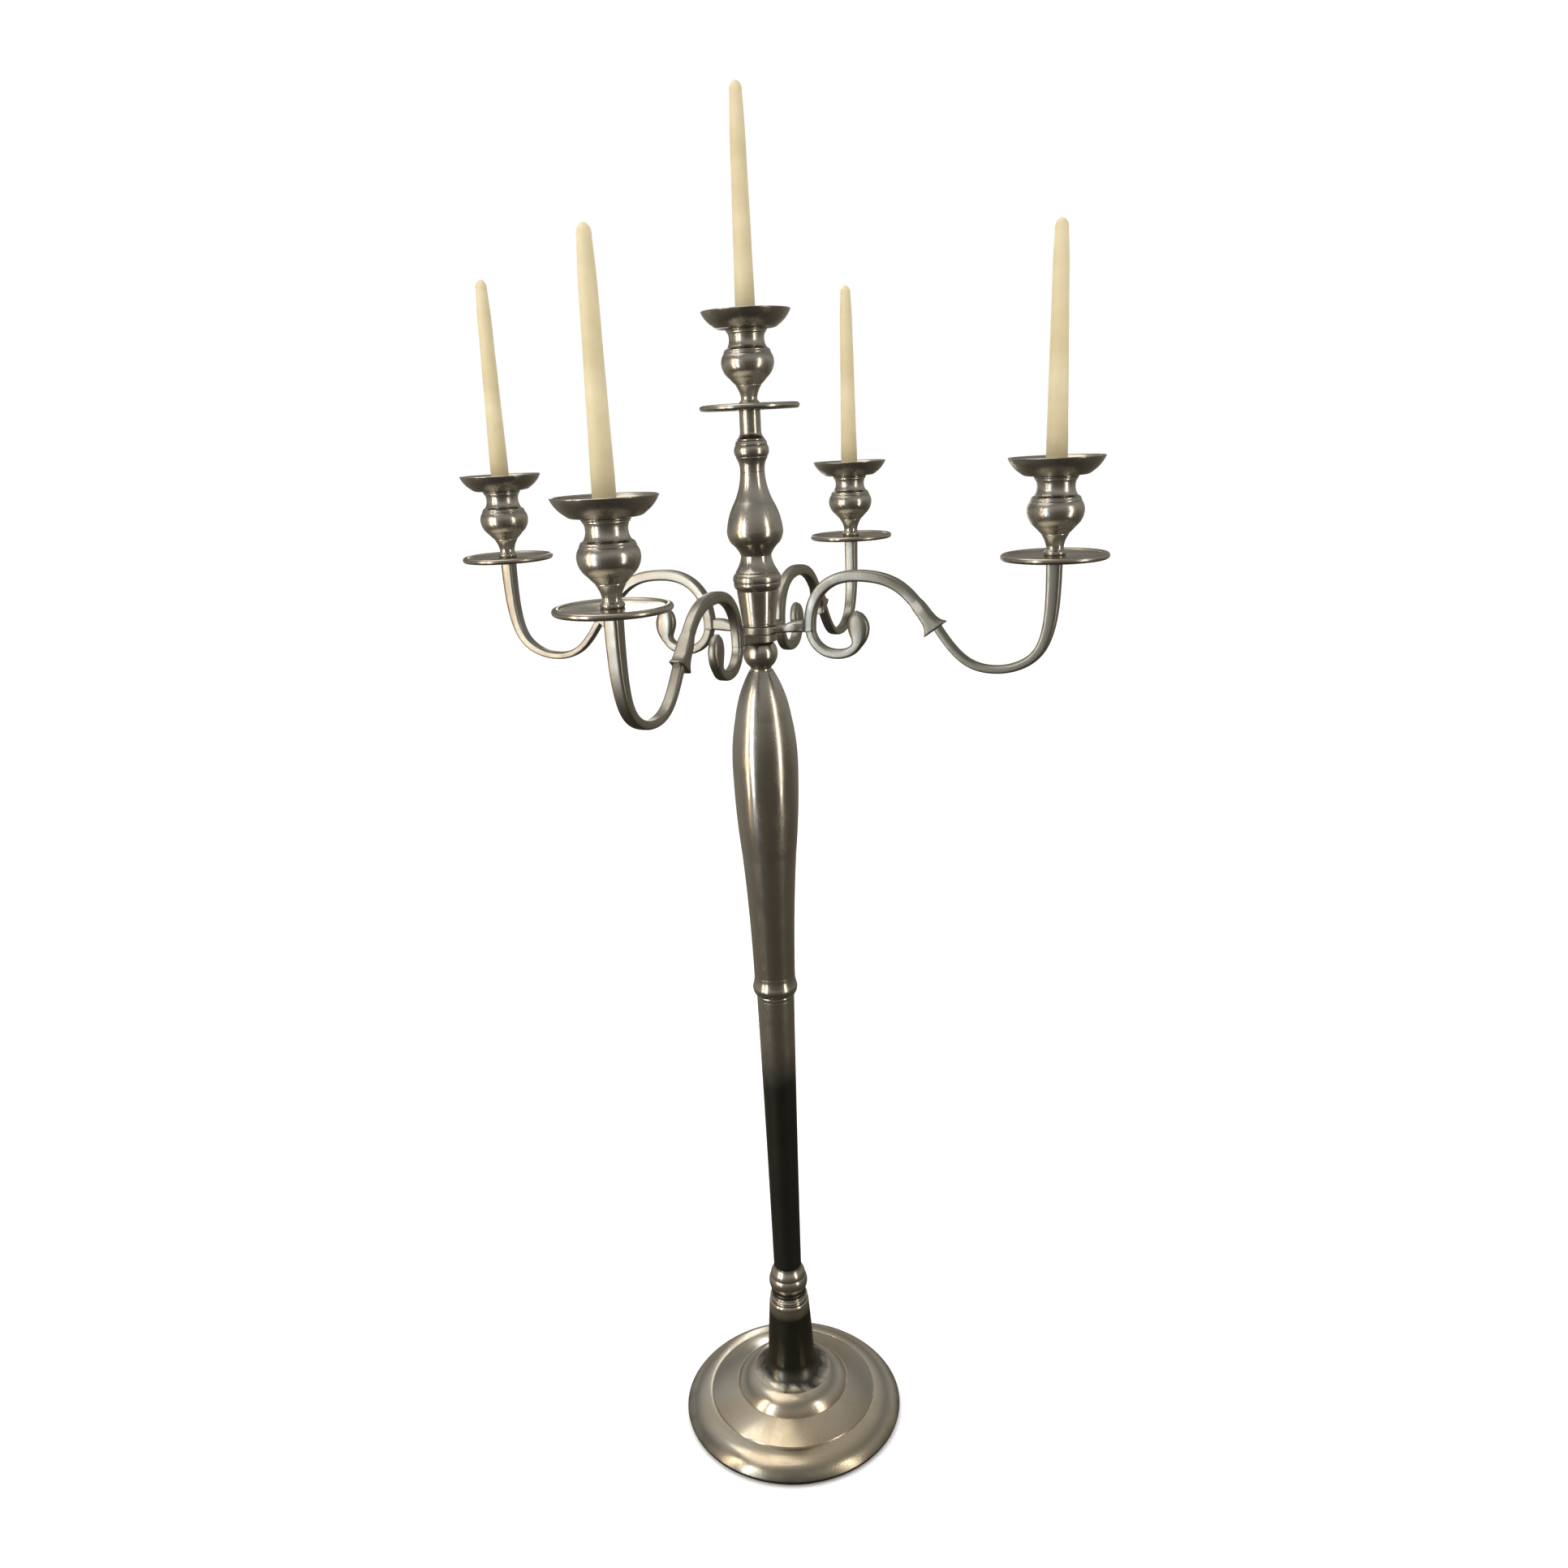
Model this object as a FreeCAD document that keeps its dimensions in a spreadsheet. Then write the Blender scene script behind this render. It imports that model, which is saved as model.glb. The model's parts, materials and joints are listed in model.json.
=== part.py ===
import FreeCAD, Part
import os
import re
import Sketcher

# A floor-standing five-light candelabrum. Turned pieces are stacked on one long tie rod.
# Two arm pairs, each a ring with two lugs, turn on a sleeve at the hub, one above the other.
# Lengths are in millimetres. The origin is the middle of the floor face, +Z is up, and the
# upper arm pair lies along X. Each turned outline starts at its own piece's lower face.

SIZES = {
    # Fits
    "thread_clearance": 0.05,
    "running_clearance": 0.06,
    "body_gap": 0.3,
    # Walls of the cored castings, and the solid lands at their ends
    "casting_wall": 6,
    "casting_land": 14,
    # Floor pads
    "pad_radius": 7,
    "pad_thickness": 2.5,
    "pad_count": 4,
    # Base
    "base_radius": 153,
    "base_rim_height": 12.8,
    "base_foot_width": 15.5,
    "base_edge_round": 5,
    "base_height": 61,
    "base_top_plate": 8,
    "base_wall": 8.5,
    "outer_groove_radius": 115.9,
    "outer_groove_level": 27.2,
    "inner_groove_radius": 77.9,
    "inner_groove_level": 41.2,
    "groove_half_width": 1,
    "groove_depth": 1.3,
    "inner_groove_lip": 0.3,
    "outer_groove_lip": 0.5,
    "hump_radius": 67.7,
    "hump_level": 53.2,
    "dome_crown": 0.5,
    "rim_crown": 1,
    "rim_roll": 3.5,
    "rim_bulge_level": 7,
    "rim_foot_inset": 3,
    "rim_foot_rise": 1,
    "hollow_draft": 2,
    "hollow_edge_level": 9.3,
    # Neck of the base
    "flare_radius": 54.5,
    "flare_lip": 2.2,
    "flare_height": 56.5,
    "flare_hollow_radius": 39,
    "flare_hollow_level": 15.7,
    "neck_foot_radius": 31.3,
    "neck_middle_radius": 29.6,
    "neck_middle_level": 86.5,
    "neck_shoulder_radius": 27.6,
    "neck_shoulder_drop": 4,
    "neck_top_radius": 26.6,
    "neck_height": 118.5,
    # Ring between the neck and the stem
    "neck_ring_radius": 26.2,
    "neck_ring_waist": 23.4,
    "neck_ring_foot_height": 1.5,
    "neck_ring_bead_level": 4,
    "neck_ring_bead_top": 6.5,
    "neck_ring_height": 12,
    # Foot of the stem
    "stem_foot_radius": 26.8,
    "stem_foot_edge_radius": 25.8,
    "stem_foot_bead": 25,
    "stem_foot_slope_radius": 23.8,
    "stem_foot_slope_level": 31,
    "stem_foot_throat_radius": 20.9,
    "stem_foot_throat_level": 37,
    "stem_foot_height": 43,
    # Lower stem
    "lower_stem_foot_radius": 19.1,
    "lower_stem_middle_radius": 21.2,
    "lower_stem_top_radius": 24.3,
    "lower_stem_height": 411,
    # Ring between the two stems
    "stem_ring_radius": 29,
    "stem_ring_top_radius": 26.5,
    "stem_ring_foot_height": 4,
    "stem_ring_lower_radius": 28.1,
    "stem_ring_lower_level": 10,
    "stem_ring_bead_level": 16,
    "stem_ring_upper_radius": 28,
    "stem_ring_upper_level": 24,
    "stem_ring_land": 2,
    "stem_ring_height": 33,
    # Upper stem
    "upper_stem_waist_hollow": 1.3,
    "upper_stem_belly_swell": 1.4,
    "upper_stem_shoulder_swell": 1.6,
    "upper_stem_neck_swell": 2.5,
    "upper_stem_waist_radius": 34.2,
    "upper_stem_waist_level": 165,
    "upper_stem_belly_radius": 40.7,
    "upper_stem_belly_level": 282,
    "upper_stem_shoulder_radius": 34.5,
    "upper_stem_shoulder_level": 343,
    "upper_stem_neck_radius": 15.5,
    "upper_stem_height": 401,
    # Knop
    "knop_neck_radius": 13,
    "knop_neck_height": 5.5,
    "knop_radius": 21,
    "knop_pole_radius": 14.2,
    "knop_height": 35.5,
    # Tie rod and its fastening
    "rod_radius": 5,
    "base_nut_width": 17,
    "base_nut_height": 8,
    "base_washer_radius": 14,
    "base_washer_thickness": 2,
    "rod_tail": 4,
    "rod_end_chamfer": 1,
    # Hub
    "sleeve_radius": 9,
    "arm_ring_radius": 21,
    "arm_ring_height": 9,
    "hub_washer_radius": 19,
    "hub_washer_thickness": 2.6,
    "lug_reach": 58,
    "lug_rise": 9.5,
    "lug_height": 14,
    "lug_width": 14,
    "lug_step_radius": 24.5,
    "lug_root_radius": 15,
    "lug_root_inset": 0.8,
    # Centre column: socket, vase and spindle
    "socket_foot_radius": 20,
    "socket_top_radius": 25,
    "socket_height": 40.5,
    "socket_bead_radius": 28.6,
    "socket_bead_height": 20,
    "socket_waist_radius": 18.1,
    "socket_throat_radius": 19.3,
    "socket_throat_drop": 8,
    "column_socket_height": 80.5,
    "vase_foot_radius": 22.1,
    "vase_foot_level": 7.5,
    "vase_lower_radius": 28.7,
    "vase_lower_level": 14.5,
    "vase_swell_radius": 32.4,
    "vase_swell_level": 22.5,
    "vase_radius": 33.2,
    "vase_belly_level": 28,
    "vase_side_radius": 30.5,
    "vase_side_level": 43.5,
    "vase_flank_radius": 23.1,
    "vase_flank_level": 61.5,
    "vase_neck_radius": 16.5,
    "vase_neck_drop": 16,
    "vase_top_radius": 14.3,
    "column_vase_height": 95.5,
    "spindle_foot_radius": 15.9,
    "spindle_foot_level": 12,
    "spindle_shoulder_radius": 18.5,
    "spindle_shoulder_level": 17,
    "spindle_bead_radius": 20.3,
    "spindle_bead_level": 24,
    "spindle_slope_radius": 16.7,
    "spindle_slope_level": 35,
    "spindle_throat_radius": 13.5,
    "spindle_throat_level": 40,
    "spindle_neck_radius": 12.2,
    "spindle_neck_level": 45,
    "column_spindle_height": 73.3,
    "rod_end_depth": 30,
    # Drip pans
    "pan_radius": 57.5,
    "pan_thickness": 4.6,
    "pan_edge_height": 6.8,
    "pan_edge_width": 8,
    # Candle cups
    "cup_height": 102.5,
    "cup_foot_radius": 11.4,
    "cup_foot_height": 3,
    "cup_stalk_radius": 9.3,
    "cup_stalk_level": 7,
    "cup_flank_radius": 12.6,
    "cup_flank_level": 19,
    "cup_belly_radius": 21.5,
    "cup_belly_level": 29,
    "cup_bulb_radius": 30,
    "cup_bulb_level": 45,
    "cup_shoulder_radius": 22,
    "cup_shoulder_level": 63,
    "cup_neck_radius": 20,
    "cup_neck_level": 70,
    "cup_throat_radius": 21.6,
    "cup_throat_level": 79.5,
    "cup_root_radius": 22.5,
    "cup_floor_radius": 33.5,
    "cup_floor_level": 83.5,
    "cup_rim_radius": 50.6,
    "cup_wall": 3.2,
    "dish_swell": 2,
    "dish_floor_thickness": 4.5,
    "socket_collar_wall": 2.6,
    "socket_collar_drop": 5,
    "candle_seat_depth": 24,
    # Cup studs
    "stud_radius": 4,
    "stud_depth": 14,
    # Candles
    "candle_foot_radius": 11.2,
    "candle_foot_height": 40,
    "candle_upper_radius": 8.7,
    "candle_upper_level": 190,
    "candle_swell": 0.3,
    "candle_swell_rise": 7,
    "candle_shoulder_radius": 7,
    "candle_shoulder_drop": 9,
    "candle_tip_bend_radius": 5.7,
    "candle_tip_bend_drop": 2.7,
    "candle_tip_radius": 1.5,
    "candle_length": 254,
    # Arms, seen from the side: reach from the hub axis, rise from the lug's middle
    "arm_reach": 347.7,
    "arm_pan_rise": 77.4,
    "arm_root_reach": 65,
    "arch_rise": 60.5,
    "arch_reach": 138,
    "arch_thickness": 13.2,
    "arch_width": 12.5,
    "scroll_drop": 33.5,
    "scroll_thickness": 12,
    "scroll_width": 12,
    "leaf_reach": 125.5,
    "leaf_width": 25,
    "leaf_rise": 16,
    "knuckle_reach": 215,
    "knuckle_width": 17.5,
    "bow_drop": 46.5,
    "bow_reach": 280,
    "bow_thickness": 9.2,
    "bow_width": 14,
    "boss_radius": 8.8,
    "boss_foot_radius": 5.6,
    "boss_foot_level": 2,
    "boss_full_level": 64,
    "boss_flange_radius": 10.4,
    "boss_flange_height": 5,
    "boss_flange_edge": 3,
    "plate_width": 13.5,
    "bar_chamfer": 3,
}

ARMS = {"right": (0, 1, 0), "back": (90, 0, 1), "left": (180, -1, 0), "front": (270, 0, -1)}
UPPER_PAIR = ("right", "left")
LOWER_PAIR = ("front", "back")

doc = FreeCAD.newDocument("Candelabrum")
sheet = doc.addObject("Spreadsheet::Sheet", "Sizes")
for row, (alias, size) in enumerate(SIZES.items(), start=1):
    sheet.set("A%d" % row, alias.replace("_", " "))
    sheet.set("B%d" % row, str(size))
    sheet.setAlias("B%d" % row, alias)
doc.recompute()

NODES = []


def bound(text):
    """The expression for a sum of sizes, in which each alias names its cell of the sheet."""
    return re.sub(r"[a-z][a-z_]+", lambda word: "Sizes." + word.group(), text)


def value(text):
    """The present value of a sum of sizes."""
    return float(sheet.evalExpression(bound(text)))


def new_body(name):
    """A body that is one node of the candelabrum."""
    body = doc.addObject("PartDesign::Body", name)
    body.Label = name
    NODES.append(body)
    return body


def place(obj, level, x="0", y="0", turn=0):
    """Stand a node at a level above the floor, at x and y, turned about Z."""
    rotation = FreeCAD.Rotation(FreeCAD.Vector(0, 0, 1), turn)
    base = FreeCAD.Vector(value(x), value(y), value(level))
    obj.Placement = FreeCAD.Placement(base, rotation)
    obj.setExpression("Placement.Base.x", bound(x))
    obj.setExpression("Placement.Base.y", bound(y))
    obj.setExpression("Placement.Base.z", bound(level))


def new_sketch(body, name, plane="XZ_Plane", offset="0"):
    """A sketch on one of the body's own planes, raised along the plane's normal."""
    sketch = body.newObject("Sketcher::SketchObject", name)
    origin_plane = next(f for f in body.Origin.OriginFeatures if f.Role == plane)
    sketch.AttachmentSupport = [(origin_plane, "")]
    sketch.MapMode = "FlatFace"
    if offset != "0":
        sketch.AttachmentOffset = FreeCAD.Placement(
            FreeCAD.Vector(0, 0, value(offset)), FreeCAD.Rotation())
        sketch.setExpression("AttachmentOffset.Base.z", bound(offset))
    return sketch


def hold_point(sketch, geometry, position, x, y):
    """Hold a point of the sketch at two sums of sizes."""
    for kind, axis, text in (("DistanceX", -2, x), ("DistanceY", -1, y)):
        if text == "0":
            sketch.addConstraint(Sketcher.Constraint("PointOnObject", geometry, position, axis))
            continue
        distance = Sketcher.Constraint(kind, -1, 1, geometry, position, value(text))
        index = sketch.addConstraint(distance)
        sketch.setExpression("Constraints[%d]" % index, bound(text))


def draw_outline(sketch, steps):
    """Draw a closed outline. A pair is a corner; four texts are an arc's middle and its end."""
    corners = [FreeCAD.Vector(value(step[-2]), value(step[-1]), 0) for step in steps]
    ends = []
    middles = []
    for index, step in enumerate(steps):
        start, end = corners[index - 1], corners[index]
        if len(step) == 2:
            sketch.addGeometry(Part.LineSegment(start, end), False)
            ends.append((1, 2))
            continue
        middle = FreeCAD.Vector(value(step[0]), value(step[1]), 0)
        leftward = (middle - start).cross(end - start).z > 0
        points = (start, middle, end) if leftward else (end, middle, start)
        sketch.addGeometry(Part.ArcOfCircle(*points), False)
        ends.append((1, 2) if leftward else (2, 1))
        middles.append((index, middle, step))
    for index, step in enumerate(steps):
        following = (index + 1) % len(steps)
        sketch.addConstraint(Sketcher.Constraint(
            "Coincident", index, ends[index][1], following, ends[following][0]))
        hold_point(sketch, index, ends[index][1], step[-2], step[-1])
    for arc, middle, step in middles:
        point = sketch.addGeometry(Part.Point(middle), True)
        sketch.addConstraint(Sketcher.Constraint("PointOnObject", point, 1, arc))
        hold_point(sketch, point, 1, step[0], step[1])


def draw_curve(sketch, poles):
    """Draw a smooth open curve that is drawn towards each pole and meets the first and last."""
    places = [FreeCAD.Vector(value(x), value(y), 0) for x, y in poles]
    spans = len(places) - 3
    knots = [span / spans for span in range(spans + 1)]
    multiplicities = [4] + [1] * (spans - 1) + [4]
    curve = Part.BSplineCurve()
    curve.buildFromPolesMultsKnots(places, multiplicities, knots, False, 3)
    line = sketch.addGeometry(curve, False)
    for index, (x, y) in enumerate(poles):
        mark = sketch.addGeometry(
            Part.Circle(places[index], FreeCAD.Vector(0, 0, 1), 1), True)
        sketch.addConstraint(Sketcher.Constraint(
            "InternalAlignment:Sketcher::BSplineControlPoint", mark, 3, line, index))
        sketch.addConstraint(Sketcher.Constraint("Weight", mark, 1.0))
        hold_point(sketch, mark, 3, x, y)


def turned(name, steps, level, x="0", y="0"):
    """A turned piece: an outline in reach and height, revolved about the vertical axis."""
    body = new_body(name)
    sketch = new_sketch(body, name + "_outline")
    draw_outline(sketch, steps)
    revolution = body.newObject("PartDesign::Revolution", name + "_turning")
    revolution.Profile = sketch
    revolution.ReferenceAxis = (sketch, ["V_Axis"])
    revolution.Angle = 360
    place(body, level, x, y)
    return body


def padded(body, name, steps, width):
    """Add a plate to a body: a side outline, half its width to each side of the middle."""
    sketch = new_sketch(body, name + "_outline")
    draw_outline(sketch, steps)
    pad = body.newObject("PartDesign::Pad", name)
    pad.Profile = sketch
    pad.Midplane = True
    pad.setExpression("Length", bound(width))
    return pad


def bar(body, name, poles, thickness, width):
    """Add a chamfered bar to a body along a curve whose first stretch is upright."""
    spine = new_sketch(body, name + "_line")
    draw_curve(spine, poles)
    middle, level = poles[0]
    section = new_sketch(body, name + "_section", "XY_Plane", level)
    half = {"x": "(%s) / 2" % thickness, "y": "(%s) / 2" % width}
    short = {key: text + " - bar_chamfer" for key, text in half.items()}
    corners = [(half["x"], "-(%s)" % short["y"]), (half["x"], short["y"]),
               (short["x"], half["y"]), ("-(%s)" % short["x"], half["y"]),
               ("-(%s)" % half["x"], short["y"]), ("-(%s)" % half["x"], "-(%s)" % short["y"]),
               ("-(%s)" % short["x"], "-(%s)" % half["y"]), (short["x"], "-(%s)" % half["y"])]
    draw_outline(section, [("%s + %s" % (middle, dx), dy) for dx, dy in corners])
    pipe = body.newObject("PartDesign::AdditivePipe", name)
    pipe.Profile = section
    pipe.Spine = (spine, ["Edge1"])
    pipe.Mode = "Frenet"
    return pipe


# Levels of the stacked pieces above the floor, each on top of the one before.
BASE = "pad_thickness"
NECK = BASE + " + base_height"
NECK_RING = NECK + " + neck_height"
STEM_FOOT = NECK_RING + " + neck_ring_height"
LOWER_STEM = STEM_FOOT + " + stem_foot_height"
STEM_RING = LOWER_STEM + " + lower_stem_height"
UPPER_STEM = STEM_RING + " + stem_ring_height"
KNOP = UPPER_STEM + " + upper_stem_height"
HUB = KNOP + " + knop_height"
LOWER_RING = HUB + " + body_gap"
UPPER_RING = LOWER_RING + " + arm_ring_height + body_gap"
HUB_WASHER = UPPER_RING + " + arm_ring_height + body_gap"
SOCKET = HUB_WASHER + " + hub_washer_thickness"
VASE = SOCKET + " + column_socket_height"
SPINDLE = VASE + " + column_vase_height"
CENTRE_PAN = SPINDLE + " + column_spindle_height"

PAD_CIRCLE = "base_radius - base_edge_round - base_foot_width / 2"
ROD_HOLE = "rod_radius + thread_clearance"
STUD_HOLE = "stud_radius + thread_clearance"
CANDLE_HOLE = "candle_foot_radius + running_clearance"


def make_base():
    """The pads, the hollow base and what holds it to the rod."""
    pads = new_body("floor_pads")
    sketch = new_sketch(pads, "pad_circle", "XY_Plane")
    centre = FreeCAD.Vector(value(PAD_CIRCLE), 0, 0)
    circle = sketch.addGeometry(
        Part.Circle(centre, FreeCAD.Vector(0, 0, 1), value("pad_radius")), False)
    hold_point(sketch, circle, 3, PAD_CIRCLE, "0")
    radius = sketch.addConstraint(Sketcher.Constraint("Radius", circle, value("pad_radius")))
    sketch.setExpression("Constraints[%d]" % radius, bound("pad_radius"))
    pad = pads.newObject("PartDesign::Pad", "pad")
    pad.Profile = sketch
    pad.setExpression("Length", bound("pad_thickness"))
    doc.recompute()
    pattern = pads.newObject("PartDesign::PolarPattern", "pad_pattern")
    pattern.Originals = [pad]
    pattern.Axis = (sketch, ["N_Axis"])
    pattern.Angle = 360
    pattern.setExpression("Occurrences", bound("pad_count"))
    pads.Tip = pattern
    place(pads, "0")

    foot_edge = "base_radius - base_foot_width - base_edge_round"
    under_plate = "base_height - base_top_plate"
    turned("base_dome", [
        (ROD_HOLE, under_plate),
        (ROD_HOLE, "base_height"),
        ("flare_radius", "base_height"),
        ("hump_radius", "hump_level",
         "inner_groove_radius - groove_half_width", "inner_groove_level"),
        ("inner_groove_radius", "inner_groove_level - groove_depth"),
        ("inner_groove_radius + groove_half_width", "inner_groove_level - inner_groove_lip"),
        ("(inner_groove_radius + outer_groove_radius) / 2",
         "(inner_groove_level + outer_groove_level) / 2 + dome_crown",
         "outer_groove_radius - groove_half_width", "outer_groove_level"),
        ("outer_groove_radius", "outer_groove_level - groove_depth"),
        ("outer_groove_radius + groove_half_width", "outer_groove_level - outer_groove_lip"),
        ("(outer_groove_radius + base_radius) / 2",
         "(outer_groove_level + base_rim_height) / 2 + rim_crown",
         "base_radius - rim_roll", "base_rim_height"),
        ("base_radius", "rim_bulge_level", "base_radius - rim_foot_inset", "rim_foot_rise"),
        ("base_radius - base_edge_round", "0"),
        (foot_edge, "0"),
        (foot_edge + " - hollow_draft", "hollow_edge_level"),
        ("inner_groove_radius", "inner_groove_level - base_wall"),
        ("flare_radius", under_plate),
    ], BASE)

    turned("base_washer", [
        (ROD_HOLE, "0"),
        ("base_washer_radius", "0"),
        ("base_washer_radius", "base_washer_thickness"),
        (ROD_HOLE, "base_washer_thickness"),
    ], BASE + " + base_height - base_top_plate - base_washer_thickness")


def make_nut(name, level):
    """A hexagon nut on the tie rod."""
    body = new_body(name)
    sketch = new_sketch(body, name + "_outline", "XY_Plane")
    corner = "base_nut_width / 3 ^ 0.5"
    half = corner + " / 2"
    flat = "base_nut_width / 2"
    draw_outline(sketch, [
        (corner, "0"), (half, flat), ("-(%s)" % half, flat),
        ("-(%s)" % corner, "0"), ("-(%s)" % half, "-(%s)" % flat), (half, "-(%s)" % flat)])
    pad = body.newObject("PartDesign::Pad", name + "_body")
    pad.Profile = sketch
    pad.setExpression("Length", bound("base_nut_height"))
    bore = new_sketch(body, name + "_bore", "XY_Plane")
    circle = bore.addGeometry(Part.Circle(
        FreeCAD.Vector(), FreeCAD.Vector(0, 0, 1), value(ROD_HOLE)), False)
    bore.addConstraint(Sketcher.Constraint("Coincident", circle, 3, -1, 1))
    radius = bore.addConstraint(Sketcher.Constraint("Radius", circle, value(ROD_HOLE)))
    bore.setExpression("Constraints[%d]" % radius, bound(ROD_HOLE))
    pocket = body.newObject("PartDesign::Pocket", name + "_thread")
    pocket.Profile = bore
    pocket.Type = 1
    pocket.Midplane = True
    place(body, level)


def make_stem():
    """The neck, the two stems and the rings and knop between them, all bored for the rod."""
    turned("base_neck", [
        (ROD_HOLE, "0"),
        ("flare_radius", "0"),
        ("flare_radius", "flare_lip"),
        ("flare_hollow_radius", "flare_hollow_level", "neck_foot_radius", "flare_height"),
        ("neck_middle_radius", "neck_middle_level",
         "neck_shoulder_radius", "neck_height - neck_shoulder_drop"),
        ("neck_top_radius", "neck_height"),
        (ROD_HOLE, "neck_height"),
        (ROD_HOLE, "neck_height - casting_land"),
        ("neck_shoulder_radius - casting_wall", "neck_height - casting_land"),
        ("neck_foot_radius - casting_wall", "flare_height"),
        ("neck_foot_radius - casting_wall", "casting_land"),
        (ROD_HOLE, "casting_land"),
    ], NECK)

    turned("neck_ring", [
        (ROD_HOLE, "0"),
        ("neck_ring_waist", "0"),
        ("neck_ring_waist", "neck_ring_foot_height"),
        ("neck_ring_radius", "neck_ring_bead_level", "neck_ring_waist", "neck_ring_bead_top"),
        ("neck_ring_waist", "neck_ring_height"),
        (ROD_HOLE, "neck_ring_height"),
    ], NECK_RING)

    turned("stem_foot", [
        (ROD_HOLE, "0"),
        ("stem_foot_edge_radius", "0"),
        ("stem_foot_radius", "stem_foot_bead / 2", "stem_foot_edge_radius", "stem_foot_bead"),
        ("stem_foot_slope_radius", "stem_foot_slope_level",
         "stem_foot_throat_radius", "stem_foot_throat_level"),
        ("lower_stem_foot_radius", "stem_foot_height"),
        (ROD_HOLE, "stem_foot_height"),
    ], STEM_FOOT)

    turned("lower_stem", [
        (ROD_HOLE, "0"),
        ("lower_stem_foot_radius", "0"),
        ("lower_stem_middle_radius", "lower_stem_height / 2",
         "lower_stem_top_radius", "lower_stem_height"),
        (ROD_HOLE, "lower_stem_height"),
        (ROD_HOLE, "lower_stem_height - casting_land"),
        ("lower_stem_top_radius - casting_wall", "lower_stem_height - casting_land"),
        ("lower_stem_foot_radius - casting_wall", "casting_land"),
        (ROD_HOLE, "casting_land"),
    ], LOWER_STEM)

    turned("stem_ring", [
        (ROD_HOLE, "0"),
        ("lower_stem_top_radius", "0"),
        ("lower_stem_top_radius", "stem_ring_foot_height"),
        ("stem_ring_lower_radius", "stem_ring_lower_level",
         "stem_ring_radius", "stem_ring_bead_level"),
        ("stem_ring_upper_radius", "stem_ring_upper_level",
         "stem_ring_top_radius", "stem_ring_height - stem_ring_land"),
        ("stem_ring_top_radius", "stem_ring_height"),
        (ROD_HOLE, "stem_ring_height"),
    ], STEM_RING)

    turned("upper_stem", [
        (ROD_HOLE, "0"),
        ("stem_ring_top_radius", "0"),
        ("(stem_ring_top_radius + upper_stem_waist_radius) / 2 - upper_stem_waist_hollow",
         "upper_stem_waist_level / 2",
         "upper_stem_waist_radius", "upper_stem_waist_level"),
        ("(upper_stem_waist_radius + upper_stem_belly_radius) / 2 + upper_stem_belly_swell",
         "(upper_stem_waist_level + upper_stem_belly_level) / 2",
         "upper_stem_belly_radius", "upper_stem_belly_level"),
        ("(upper_stem_belly_radius + upper_stem_shoulder_radius) / 2 + upper_stem_shoulder_swell",
         "(upper_stem_belly_level + upper_stem_shoulder_level) / 2",
         "upper_stem_shoulder_radius", "upper_stem_shoulder_level"),
        ("(upper_stem_shoulder_radius + upper_stem_neck_radius) / 2 + upper_stem_neck_swell",
         "(upper_stem_shoulder_level + upper_stem_height) / 2",
         "upper_stem_neck_radius", "upper_stem_height"),
        (ROD_HOLE, "upper_stem_height"),
        (ROD_HOLE, "upper_stem_height - casting_land"),
        ("upper_stem_neck_radius - casting_wall", "upper_stem_height - casting_land"),
        ("upper_stem_shoulder_radius - casting_wall", "upper_stem_shoulder_level"),
        ("upper_stem_belly_radius - casting_wall", "upper_stem_belly_level"),
        ("upper_stem_waist_radius - casting_wall", "upper_stem_waist_level"),
        ("stem_ring_top_radius - casting_wall", "casting_land"),
        (ROD_HOLE, "casting_land"),
    ], UPPER_STEM)

    turned("knop_ball", [
        (ROD_HOLE, "0"),
        ("knop_neck_radius", "0"),
        ("knop_neck_radius", "knop_neck_height"),
        ("knop_pole_radius", "knop_neck_height"),
        ("knop_radius", "(knop_neck_height + knop_height) / 2",
         "knop_pole_radius", "knop_height"),
        (ROD_HOLE, "knop_height"),
    ], KNOP)


def make_hub():
    """The sleeve that the arm rings turn on, the washer above them and the tie rod."""
    turned("hub_sleeve", [
        (ROD_HOLE, "0"),
        ("sleeve_radius", "0"),
        ("sleeve_radius", "arm_ring_height * 2 + body_gap * 3"),
        (ROD_HOLE, "arm_ring_height * 2 + body_gap * 3"),
    ], HUB)

    turned("hub_washer", [
        (ROD_HOLE, "0"),
        ("hub_washer_radius", "0"),
        ("hub_washer_radius", "hub_washer_thickness"),
        (ROD_HOLE, "hub_washer_thickness"),
    ], HUB_WASHER)

    nut_level = (BASE + " + base_height - base_top_plate"
                 " - base_washer_thickness - base_nut_height")
    make_nut("base_nut", nut_level)
    rod_foot = nut_level + " - rod_tail"
    rod_length = "(%s + rod_end_depth) - (%s)" % (SPINDLE, rod_foot)
    turned("tie_rod", [
        ("0", "0"),
        ("rod_radius - rod_end_chamfer", "0"),
        ("rod_radius", "rod_end_chamfer"),
        ("rod_radius", rod_length),
        ("0", rod_length),
    ], rod_foot)


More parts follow.
